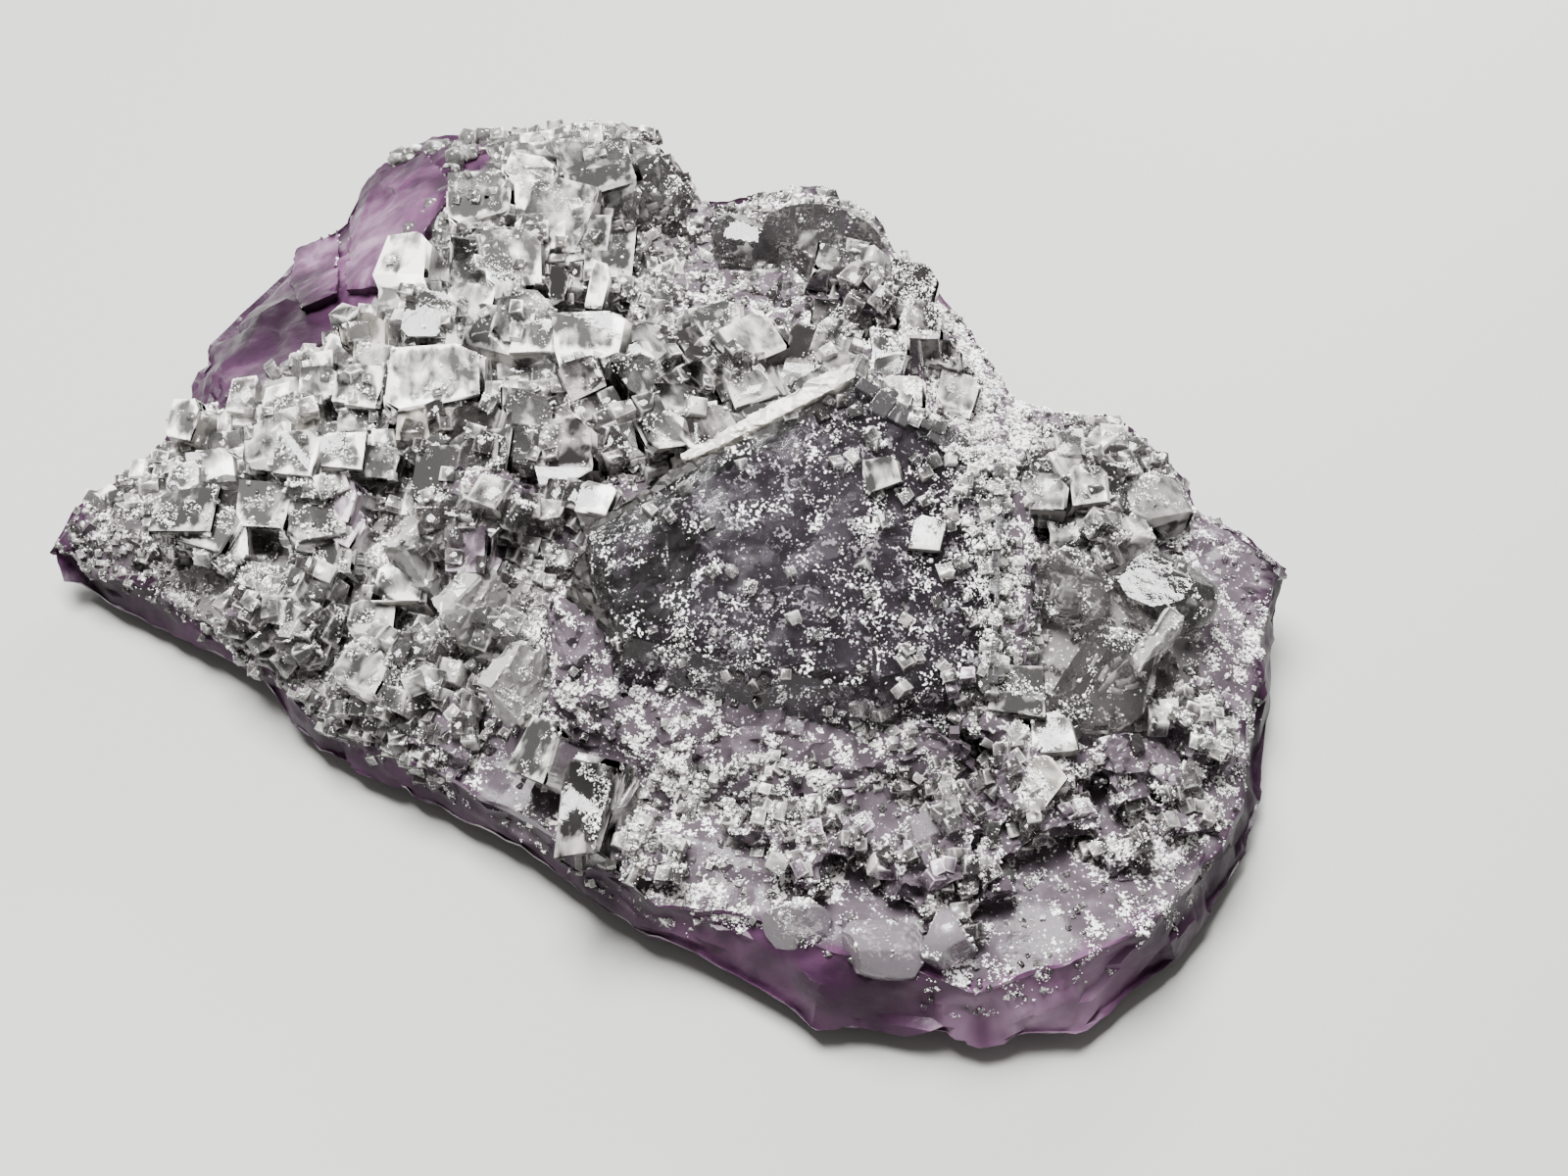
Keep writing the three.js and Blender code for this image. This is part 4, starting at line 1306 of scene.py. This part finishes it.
# %% Cleaved plates
CLEAVED = crystal_finish(
    "cleaved plate fluorite", (0.5, 0.49, 0.47), (0.84, 0.82, 0.79), (0.08, 0.5), (0.02, 0.14),
    2.4, False,
)
cleaved = [row for row in LARGE if row[3] == P]
cleaved_plates = copies_of("cleaved_plates", MODELS[0], cleaved, PLATE_WARP)
chip_block(cleaved_plates, edge=0.22, size=2.6, depth=0.6, faces=7000)
large_pieces.insert(0, dress(cleaved_plates, CLEAVED))
print(len(cleaved), "plates", len(cleaved_plates.data.polygons), "faces")

# %% [markdown]
# ## Rounded clear lumps
# On the right, at the far edge and on the left wing some crystals are worn or dissolved into
# rounded clear lumps with white sheets inside. A sphere would look like a bead, so each is a
# fine round form that planes have cut flat here and there. The lilac chunks at the near edge are
# the same, with fewer and deeper planes.

# %% Lumps
# Each is a middle, radii and a turn.
LUMPS = [
    ((30.6, -12.6, 13.6), (3.9, 3.6, 3.4), 20), ((38.2, -11.8, 12.8), (4.6, 3.8, 3.2), -15),
    ((33.6, -19.6, 12), (5.2, 4, 3.6), 35), ((-1.6, 31.4, 13), (4.6, 5.4, 4.8), 10),
    ((12.6, 23.6, 14.4), (6.4, 4.6, 4.6), -8), ((6.6, 24.6, 13.6), (3.4, 4.2, 3.8), 40),
    ((-34.6, -1.6, 10.6), (4.2, 2.8, 3.2), 12),
]
SMOKY_LUMPS = (3, 4, 5)
LUMP_SHARE = 0.97


def lump(place, radii, spin, seed, planes=24, depths=(0.7, 0.93)):
    """A round form cut flat by planes that lie at some share of its radius."""
    draws = np.random.default_rng(seed)
    bpy.ops.mesh.primitive_ico_sphere_add(subdivisions=5, radius=1)
    piece = bpy.context.object
    for _ in range(planes):
        normal = Vector(draws.normal(size=3)).normalized()
        depth = draws.uniform(*depths)
        for corner in piece.data.vertices:
            over = corner.co.dot(normal) - depth
            if over > 0:
                corner.co -= normal * over
    turn = math.radians(spin)
    for corner in piece.data.vertices:
        x, y, z = (value * radius for value, radius in zip(corner.co, radii))
        x, y = x * math.cos(turn) - y * math.sin(turn), x * math.sin(turn) + y * math.cos(turn)
        corner.co = (Vector((x, y, z)) * LUMP_SHARE + Vector(place)) * MM
    collapsed(piece, 1400)
    return piece


LUMP = crystal_finish(
    "clear lump fluorite", (0.26, 0.25, 0.247), (0.76, 0.75, 0.73), (0.2, 0.95), (0.01, 0.08), 2,
    False,
)
SMOKY_LUMP = crystal_finish(
    "smoky lump fluorite", (0.22, 0.21, 0.21), (0.8, 0.78, 0.75), (0.15, 0.95), (0.01, 0.1), 2.8,
    False,
)
lump_pieces = []
for name, finish, smoky in (("clear_lumps", LUMP, False), ("smoky_lumps", SMOKY_LUMP, True)):
    rows = [lump(*row, seed) for seed, row in enumerate(LUMPS) if (seed in SMOKY_LUMPS) == smoky]
    lump_pieces.append(dress(joined(name, rows), finish))
print([(piece.name, len(piece.data.polygons)) for piece in lump_pieces])

# %% Lilac chunks
CHUNK_REACH = 0.72
CHUNK = crystal_finish(
    "lilac chunk fluorite", (0.42, 0.37, 0.41), (0.8, 0.75, 0.76), (0.1, 0.7), (0.05, 0.3), 1.3,
    False,
)
chunks = joined("lilac_chunks", [
    lump(place, [edge * CHUNK_REACH for edge in edges], angles[2], seed, 13, (0.5, 0.8))
    for seed, (place, edges, angles, kind) in enumerate(SINGLE_CRYSTALS) if kind == K
])
dress(chunks, CHUNK)
print(chunks.name, len(chunks.data.polygons), "faces")

# %% White sheets inside the lumps
SHEETS_EACH = 10
places, edges, angles = [], [], []
for place, radii, spin in LUMPS:
    for _ in range(SHEETS_EACH):
        places.append(np.array(place) + rng.uniform(-0.3, 0.3, 3) * radii)
        edges.append((rng.uniform(0.1, 0.3) * radii[0], 0.08, rng.uniform(0.1, 0.25) * radii[2]))
        angles.append((rng.uniform(-50, 10), rng.uniform(-20, 20), spin + rng.uniform(-60, 60)))
sheets = copies("sheets_in_lumps", GRAIN, places, edges, angles, rng.random(len(places)))
dress(sheets, SUGAR)
print(len(places), "sheets")

# %% [markdown]
# ## Where small crystals and sugar lie
# The crust isn't even: the far left is blocky and clear, the dark hollows hold few crystals,
# and the great crystal's face is bare but for clumps of sugar. Each stretch of crust is a
# region with its own turn, cube size, mix of finishes and amount of sugar. Soft noise shifts the
# borders, so no ellipse shows.

# %% Regions of the crust
# Middle x, y and reach x, y in mm; turn; small cube edges in mm; shares of milky, grey, smoky and
# lilac cubes; how thickly small cubes and sugar lie, from 0 to 1.
REGIONS = [
    ((-14, 23), (12, 14), (16, 0, 0), (1.0, 2.6), (0.38, 0.47, 0.15, 0.0), 1.0, 0.22),
    ((-29, 5), (10, 8), (20, -4, 0), (1.0, 2.6), (0.52, 0.33, 0.10, 0.05), 1.0, 0.3),
    ((-12, 38), (9, 4), (12, 0, 4), (1.0, 2.4), (0.55, 0.30, 0.05, 0.10), 1.0, 0.3),
    ((-1.5, 31), (5, 7), (14, 4, 10), (0.7, 1.6), (0.10, 0.25, 0.65, 0.0), 0.6, 0.32),
    ((-6, 16), (4, 4), (12, 0, 0), (0.6, 1.4), (0.05, 0.15, 0.80, 0.0), 0.25, 0.2),
    ((4, 5), (12, 6), (14, 4, 28), (0.9, 2.2), (0.15, 0.5, 0.35, 0.0), 1.0, 0.22),
    ((-2, -6), (5, 5), (10, 0, 20), (0.6, 1.4), (0.12, 0.28, 0.60, 0.0), 0.7, 0.55),
    ((12, -13), (15, 11), (24, 0, 32), (0.3, 1.2), (0.15, 0.55, 0.30, 0.0), 0.05, 0.5),
    ((-1.5, -16.5), (5.5, 4.5), (20, 0, -20), (0.5, 1.0), (0.1, 0.4, 0.5, 0.0), 0.0, 0.3),
    ((3, -23), (12, 5), (30, 0, 8), (0.3, 0.8), (0.1, 0.2, 0.6, 0.1), 0.1, 0.62),
    ((-12, -4), (8, 7), (14, -4, -12), (0.9, 2.2), (0.2, 0.35, 0.45, 0.0), 1.0, 0.4),
    ((-33, -5), (13, 6), (16, -6, -8), (0.35, 1.2), (0.28, 0.4, 0.2, 0.12), 1.0, 0.8),
    ((-22, -13), (12, 8), (14, -12, -24), (0.5, 1.8), (0.2, 0.45, 0.27, 0.08), 0.9, 0.45),
    ((1, -30), (10, 6), (18, 0, -10), (0.3, 1.2), (0.45, 0.22, 0.20, 0.13), 0.35, 0.85),
    ((27, -32), (14, 9), (12, 8, 22), (0.3, 1.2), (0.15, 0.3, 0.27, 0.28), 0.25, 0.65),
    ((34, -16), (8, 7), (10, 4, 0), (0.4, 1.4), (0.15, 0.50, 0.25, 0.10), 0.35, 0.4),
    ((43, -18), (5, 14), (4, 12, -8), (0.3, 1), (0.35, 0.20, 0.10, 0.35), 0.4, 0.9),
    ((12, 24), (8, 6), (10, 0, -8), (0.7, 1.8), (0.20, 0.50, 0.30, 0.0), 0.5, 0.25),
    ((13, 15), (8, 6), (8, 6, -14), (0.4, 1.4), (0.05, 0.2, 0.75, 0.0), 0.5, 0.6),
    ((22, 12), (7, 8), (8, 6, -20), (0.4, 1.4), (0.2, 0.30, 0.4, 0.10), 0.5, 1.25),
    ((36, 1), (8, 6), (10, 6, 12), (0.7, 2.0), (0.15, 0.35, 0.50, 0.0), 0.9, 0.7),
    ((24, -13), (2.6, 10), (20, 10, -6), (0.3, 1.0), (0.5, 0.4, 0.0, 0.1), 0.6, 1.2),
    ((20.5, -4), (4.5, 2), (24, 10, -20), (0.3, 1.2), (0.3, 0.7, 0.0, 0.0), 0.6, 0.9),
]
(
    REGION_MIDDLES, REGION_REACHES, REGION_TURNS, REGION_EDGES, REGION_SHARES, REGION_CUBES,
    REGION_SUGAR,
) = (np.array(column, float) for column in zip(*REGIONS))
BORDER_SHIFT = 5
BORDER_WAVE = 6


def cloud(places, size, shift=0.0, octaves=3):
    """Soft noise from about 0 to 1 at places in mm, with features about size mm wide."""
    offset = Vector((shift, shift * 0.7, -shift))
    return np.array([
        0.5 + 0.5 * noise.fractal(Vector(place) / size + offset, 0.9, 2.0, octaves)
        for place in places
    ])


def kinds_at(places, region, wave, steady, chance):
    """The kinds of small cubes at places: some by soft noise, so that like lie by like."""
    shares = np.cumsum(REGION_SHARES[region], 1)
    shares /= shares[:, -1:]
    mood = cloud(places, wave, 31) * steady + chance * (1 - steady)
    return (np.clip(mood, 0, 0.999)[:, None] > shares).sum(1)


def regions_at(places):
    """The number of the region that each place lies in."""
    soft = np.stack([cloud(places, BORDER_WAVE, shift) for shift in (3, 9)], 1)
    wobble = soft * BORDER_SHIFT - BORDER_SHIFT / 2
    offset = (places[:, None, :2] + wobble[:, None] - REGION_MIDDLES) / REGION_REACHES
    return (offset ** 2).sum(2).argmin(1)


# %% Places on the surface
def triangles_of(pieces):
    """The pieces' corners in mm and their triangles."""
    corners, order, first = [], [], 0
    for piece in pieces:
        mesh = piece.data
        mesh.calc_loop_triangles()
        places = np.empty(len(mesh.vertices) * 3, np.float32)
        mesh.vertices.foreach_get("co", places)
        numbers = np.empty(len(mesh.loop_triangles) * 3, np.int32)
        mesh.loop_triangles.foreach_get("vertices", numbers)
        corners.append(places.reshape(-1, 3) / MM)
        order.append(numbers.reshape(-1, 3) + first)
        first += len(mesh.vertices)
    return np.concatenate(corners), np.concatenate(order)


def ground_of(pieces, least_up=0.1):
    """The faces of some pieces that look up under the crust's cover: triangles, normals, areas."""
    corners, order = triangles_of(pieces)
    triangles = corners[order]
    cross = np.cross(triangles[:, 1] - triangles[:, 0], triangles[:, 2] - triangles[:, 0])
    double_area = np.linalg.norm(cross, axis=1)
    normals = cross / np.maximum(double_area, 1e-9)[:, None]
    middles = triangles.mean(1)
    used = inside_crust(middles[:, 0], middles[:, 1], -0.01, COVER_BORDER)
    used &= (middles[:, 2] > LOWEST_COVER) & (normals[:, 2] > least_up)
    return triangles[used], normals[used], double_area[used] / 2


def places_on(ground, count, seed):
    """Random places on a ground, as many on each face as its weight asks, with their normals."""
    draws = np.random.default_rng(seed)
    triangles, normals, weights = ground
    chosen = draws.choice(len(triangles), count, p=weights / weights.sum())
    a, b = draws.random((2, count))
    folded = a + b > 1
    a, b = np.where(folded, 1 - a, a), np.where(folded, 1 - b, b)
    corner, first, second = (triangles[chosen, i] for i in range(3))
    places = corner + a[:, None] * (first - corner) + b[:, None] * (second - corner)
    return places, normals[chosen]


SKY = Vector((0, -0.3, 1)).normalized()
SKY_REACH = 6
SKY_START = 0.06


def under_sky(places, normals, tree):
    """True where nothing stands over a place, so that a grain could settle there."""
    starts = places + SKY_START * normals
    return np.array([tree.ray_cast(start, SKY, SKY_REACH)[0] is None for start in starts.tolist()])


seats = [body, great, dark_steps, *lump_pieces, chunks, *large_pieces]
print("seats", [piece.name for piece in seats])

# %% [markdown]
# ## The small cubes
# Between the large crystals the crust is packed with cubes of a third of a millimetre to two and
# a half, and in five places with rows of them like worn brickwork. Thousands of separate objects
# would be slow, and random turns look like gravel. Here most cubes are laid on the faces under
# them at random places that keep apart, all turned nearly as their region is, and the rows
# follow lattices of their own. All cubes of one finish are one mesh.

# %% Small cubes laid at random
CUBE_SINK = 0.16
CUBE_GAP = 0.62
ODD_CUBES = 0.3
ODD_TURN, LITTLE_TURN = 34, 12


def small_cubes(grounds, count, seed, share, shrink):
    """Places, edges, turns and kinds of small cubes on some pieces.

    Of count tries, the share that stays also follows the region and soft noise.
    """
    draws = np.random.default_rng(seed)
    places, normals = places_on(ground_of(grounds), count, seed)
    region = regions_at(places)
    low, high = REGION_EDGES[region].T
    size = shrink * (low + (high - low) * draws.random(count) ** 2.2)
    places = places + normals * (size * CUBE_SINK)[:, None] * draws.normal(0, 1, (count, 1))
    bigger = cloud(places, 3.2, 17)
    keep = draws.random(count) < share * REGION_CUBES[region] * (0.35 + 0.9 * bigger)
    for middle, reach, *_ in BRICKWORK if grounds[0] is body else ():
        keep &= (((places[:, :2] - middle) / reach) ** 2).sum(1) > draws.uniform(0.4, 1.1, count)
    places, region, size, normals = places[keep], region[keep], size[keep], normals[keep]
    order = np.argsort(-size)
    places, region, size, normals = places[order], region[order], size[order], normals[order]
    chosen = spaced(places, size * CUBE_GAP)
    places, region, size = places[chosen], region[chosen], size[chosen]
    edges = size[:, None] * draws.uniform(0.8, 1.25, (len(size), 3))
    turned = np.where(draws.random(len(size)) < ODD_CUBES, ODD_TURN, LITTLE_TURN)[:, None]
    angles = REGION_TURNS[region] + draws.normal(0, 1, (len(size), 3)) * turned
    kinds = kinds_at(places, region, 4, 0.5, draws.random(len(size)))
    return places, edges, angles, kinds


def spaced(places, gaps):
    """Which places to keep, largest first, so that no two lie nearer than their gaps."""
    cell = 1.2
    held = {}
    kept = []
    for index, (place, gap) in enumerate(zip(places, gaps)):
        key = tuple((place // cell).astype(int))
        near = False
        for dx in (-1, 0, 1):
            for dy in (-1, 0, 1):
                for dz in (-1, 0, 1):
                    for other in held.get((key[0] + dx, key[1] + dy, key[2] + dz), ()):
                        apart = place - places[other]
                        if apart @ apart < (0.5 * (gap + gaps[other])) ** 2:
                            near = True
        if not near:
            kept.append(index)
            held.setdefault(key, []).append(index)
    return np.array(kept)


# %% Rows of small cubes
# Middle x, y and reach x, y in mm; turn; pitch of the lattice; seed.
BRICKWORK = [
    ((-15, 17), (12, 13), (16, 0, 0), 1.9, 61), ((-13, 33), (10, 8), (14, 0, 4), 1.8, 62),
    ((-30, 5), (9, 8), (20, -5, 0), 2.0, 63), ((4, 4), (12, 7.5), (14, 4, 28), 1.9, 64),
    ((-11, -2), (8, 6), (14, -4, -12), 1.8, 65),
]
BRICK_STEP = 0.62
BRICK_TALL = 2.6
BRICK_WIDTHS = ((0.62, 0.94, 1.02, 1.5), (0.16, 0.4, 0.3, 0.14))  # In pitches, and how often.
BRICKS_LEFT = 0.88
BRICK_CLEARANCE = 3.4


def brickwork(middle, reach, turn, pitch, seed):
    """Cubes on one turned lattice, in steps, like worn brickwork; as places, edges and angles."""
    draws = np.random.default_rng(seed)
    frame_of = turns([turn])[0]
    half = int(max(reach) / pitch) + 2
    cells = np.stack(np.meshgrid(*[np.arange(-half, half + 1)] * 2), -1).reshape(-1, 2)
    flat = cells * pitch + draws.normal(0, 0.06, cells.shape) * pitch
    high = np.zeros(len(flat))
    on_lattice = np.array([*middle, 0.0]) + flat[:, :1] * frame_of[:, 0]
    on_lattice += flat[:, 1:] * frame_of[:, 1]
    for _ in range(6):
        places = on_lattice + high[:, None] * frame_of[:, 2]
        high += (crust_height(places[:, 0], places[:, 1]) - places[:, 2]) / frame_of[2, 2]
    rough = cloud(places, 3.4, seed, 2) - 0.5
    high += rough * 2.4 - 0.35
    high = np.round(high / BRICK_STEP) * BRICK_STEP + draws.normal(0, 0.05, len(high))
    places = on_lattice + high[:, None] * frame_of[:, 2]
    edges = np.empty((len(places), 3))
    widths, often = BRICK_WIDTHS
    edges[:, :2] = pitch * draws.choice(widths, (len(places), 2), p=often)
    edges[:, 2] = BRICK_TALL
    places -= frame_of[:, 2] * (BRICK_TALL / 2)
    offset = (places[:, :2] - middle) / reach
    inside = (offset ** 2).sum(1) + (cloud(places, 4, seed + 5, 2) - 0.5) < 1
    kept = inside & inside_crust(places[:, 0], places[:, 1], 0.9, COVER_BORDER)
    kept &= draws.random(len(places)) < BRICKS_LEFT
    kept &= np.hypot(*(places[:, :2] - FAR_HOLLOW).T) > BRICK_CLEARANCE
    angles = np.array(turn) + draws.normal(0, 2.2, (len(places), 3))
    return places[kept], edges[kept], angles[kept]


# %% All small cubes, by finish
SMALL_KINDS = (W, G, S, L)
SMOKY_IN_DARK = 0.8
SMALL_WARP = 0.1

sets = [
    small_cubes([body, dark_steps, great, crusted], count=26000, seed=5, share=1, shrink=1),
    small_cubes(large_pieces[:-1], count=16000, seed=6, share=0.22, shrink=0.7),
]
for row in BRICKWORK:
    places, edges, angles = brickwork(*row)
    kinds = kinds_at(places, regions_at(places), 3, 0.4, rng.random(len(places)))
    sets.append((places, edges, angles, kinds))
places, edges, angles, kinds = (np.concatenate(columns) for columns in zip(*sets))
in_dark = in_dark_spot(places[:, 0], places[:, 1]) & (rng.random(len(kinds)) < SMOKY_IN_DARK)
kinds[in_dark] = SMALL_KINDS.index(S)
print(len(places), "small cubes", np.bincount(kinds), "by place", [len(part[0]) for part in sets])
small_pieces = []
for number, kind in enumerate(SMALL_KINDS):
    mine = kinds == number
    tints = rng.random(mine.sum())
    rows = places[mine], edges[mine], angles[mine]
    piece = copies(f"small_{kind}_cubes", SMALL, *rows, tints, SMALL_WARP)
    small_pieces.append(dress(piece, CRYSTAL_FINISHES[kind]))
    print(piece.name, int(mine.sum()))

# %% Rounded granules
# Lines from x, y, z to x, y, z in mm along which worn milky granules sit, and how many: the top
# edge of the bare flank, its border with the crust, and the left tip.
GRANULE_LINES = [
    ((-25, 41.6, 10.9), (-15.5, 41.6, 13), 22), ((-18.6, 39.5, 14), (-18.8, 31, 15.8), 16),
    ((-20, 29, 15.9), (-22.6, 20, 15.2), 18), ((-47.4, -0.6, 6), (-44.6, 1.8, 8.4), 9),
]
LARGEST_GRANULES = (2.4, 2.4, 2.2, 1.1)
SMALLEST_GRANULE = 0.4
GRANULE_JITTER = 0.45
GRANULE_SINK = (0, 0.3, 0.5)
places, edges, angles = [], [], []
for (start, end, count), largest in zip(GRANULE_LINES, LARGEST_GRANULES):
    for share in rng.random(count):
        place = between(np.array(start), np.array(end), share)
        place = place + rng.normal(0, GRANULE_JITTER, 3) * (1, 1, 0.3) - GRANULE_SINK
        places.append(place)
        edges.append(rng.uniform(SMALLEST_GRANULE, largest) * rng.uniform(0.6, 1.3, 3))
        angles.append(rng.uniform(-60, 60, 3))
tints = rng.random(len(places))
granules = copies("milky_granules", GRANULE, places, edges, angles, tints, warp=0.3)
dress(granules, MILKY)
small_pieces.append(granules)
print(len(places), "granules")

# %% [markdown]
# ## White sugar
# The last growth on the crust is a dust of white crystals under a quarter of a millimetre wide.
# It lies in clumps, thick on ledges and thin on clean faces. Painted white spots would look
# flat from the side, so the grains are real: the coarser ones small plain cubes, the many finer
# ones three-sided points, in any turn, laid where the sky is open above them and a soft clump
# pattern and the region's amount allow. Powder finer than that is painted in the same clumps.

# %% Sugar grains
# Name, model, tries, sizes in mm, share covered, most grains in one piece.
SUGARS = [
    ("sugar", GRAIN, 112000, (0.1, 0.24), 0.3, 16000),
    ("fine_sugar", SPECK, 660000, (0.07, 0.17), 0.55, 48000),
]
LARGE_FACE = 1.5  # In mm2; whether the sky is open over such a face is seen grain by grain.
CLUMP_EDGE = 12  # How sharply a clump ends.
STRAY_SUGAR = 0.005
LEAST_UP = 0.15
# Hardly any sugar lies on the ridge of the great crystal.
RIDGE_START = np.array([-4.2, -13.8])
RIDGE_LINE = np.array([15.4, -1.8]) - RIDGE_START
RIDGE_REACH = 1.5
SUGAR_ON_RIDGE = 0.06


def clumps_at(places):
    """Soft noise that is high where sugar lies in clumps."""
    return cloud(places, 1.5, 41, octaves=4) + 0.5 * cloud(places, 7, 53, octaves=2)


def thickness(places, amount):
    """How thickly sugar lies at places, below 0 where none does, and past 1 inside a clump.

    amount is the share of the ground that is covered where most of it lies.
    """
    rank = np.searchsorted(CLUMP_LEVELS, clumps_at(places)) / len(CLUMP_LEVELS)
    share = amount * (0.12 + 0.88 * REGION_SUGAR[regions_at(places)])
    along = np.clip((places[:, :2] - RIDGE_START) @ RIDGE_LINE / (RIDGE_LINE @ RIDGE_LINE), 0, 1)
    beside = np.hypot(*(places[:, :2] - RIDGE_START - along[:, None] * RIDGE_LINE).T)
    share = share * np.where(beside < RIDGE_REACH, SUGAR_ON_RIDGE, 1)
    return (rank - 1 + share) * CLUMP_EDGE


def sugar(count, seed, sizes, amount):
    """Places, edges and turns of grains in clumps."""
    draws = np.random.default_rng(seed)
    places, normals = places_on(sugar_ground, count, seed)
    free = under_sky(places, normals, sugar_tree)
    places, normals = places[free], normals[free]
    keep = draws.random(len(places)) < np.clip(thickness(places, amount), STRAY_SUGAR, 1)
    places, normals = places[keep], normals[keep]
    size = between(*sizes, draws.random(len(places)) ** 2)
    places = places + normals * (size * draws.uniform(0.0, 0.45, len(size)))[:, None]
    edges = size[:, None] * draws.uniform(0.75, 1.3, (len(size), 3))
    return places, edges, draws.uniform(-180, 180, (len(size), 3))


covers = seats + small_pieces
corners, order = triangles_of(covers)
sugar_tree = BVHTree.FromPolygons(corners.tolist(), order.tolist())
triangles, normals, areas = ground_of(covers, LEAST_UP)
middles = triangles.mean(1)
open_faces = (areas > LARGE_FACE) | under_sky(middles, normals, sugar_tree)
areas *= open_faces * (0.1 + REGION_SUGAR[regions_at(middles)])
sugar_ground = triangles, normals, areas
print(int(open_faces.sum()), "of", len(areas), "faces under open sky")
# The clump noise at even draws from the ground, sorted, turns it into a share of the ground.
CLUMP_LEVELS = np.sort(clumps_at(places_on(sugar_ground, 20000, 8)[0]))
for name, model, tries, sizes, amount, limit in SUGARS:
    places, edges, angles = sugar(tries, 9, sizes, amount)
    parts = np.array_split(np.argsort(places[:, 0]), math.ceil(len(places) / limit))
    for number, part in enumerate(parts, 1):
        rows = places[part], edges[part], angles[part]
        piece = copies(f"{name}_{number}", model, *rows, rng.random(len(part)))
        dress(piece, SUGAR)
        print(piece.name, len(part), "grains")

# %% The powder under the sugar
POWDER_AMOUNT = 0.5
for piece in (body, dark_steps, crusted):
    places = corners_of(piece)
    frost = np.clip(0.5 + 0.5 * thickness(places, POWDER_AMOUNT), 0, 1)
    frost *= upwards(piece) > LEAST_UP
    if piece is body:
        frost *= covered(places)
    note(piece, "frost", frost)
    print(piece.name, round(float(frost.mean()), 2), "under powder")

# %% [markdown]
# ## Last things
# The models that were copied are only tools, so they go.

# %% Clear away the models
for model in (*MODELS, SMALL, GRAIN, SPECK, GRANULE):
    bpy.data.objects.remove(model)
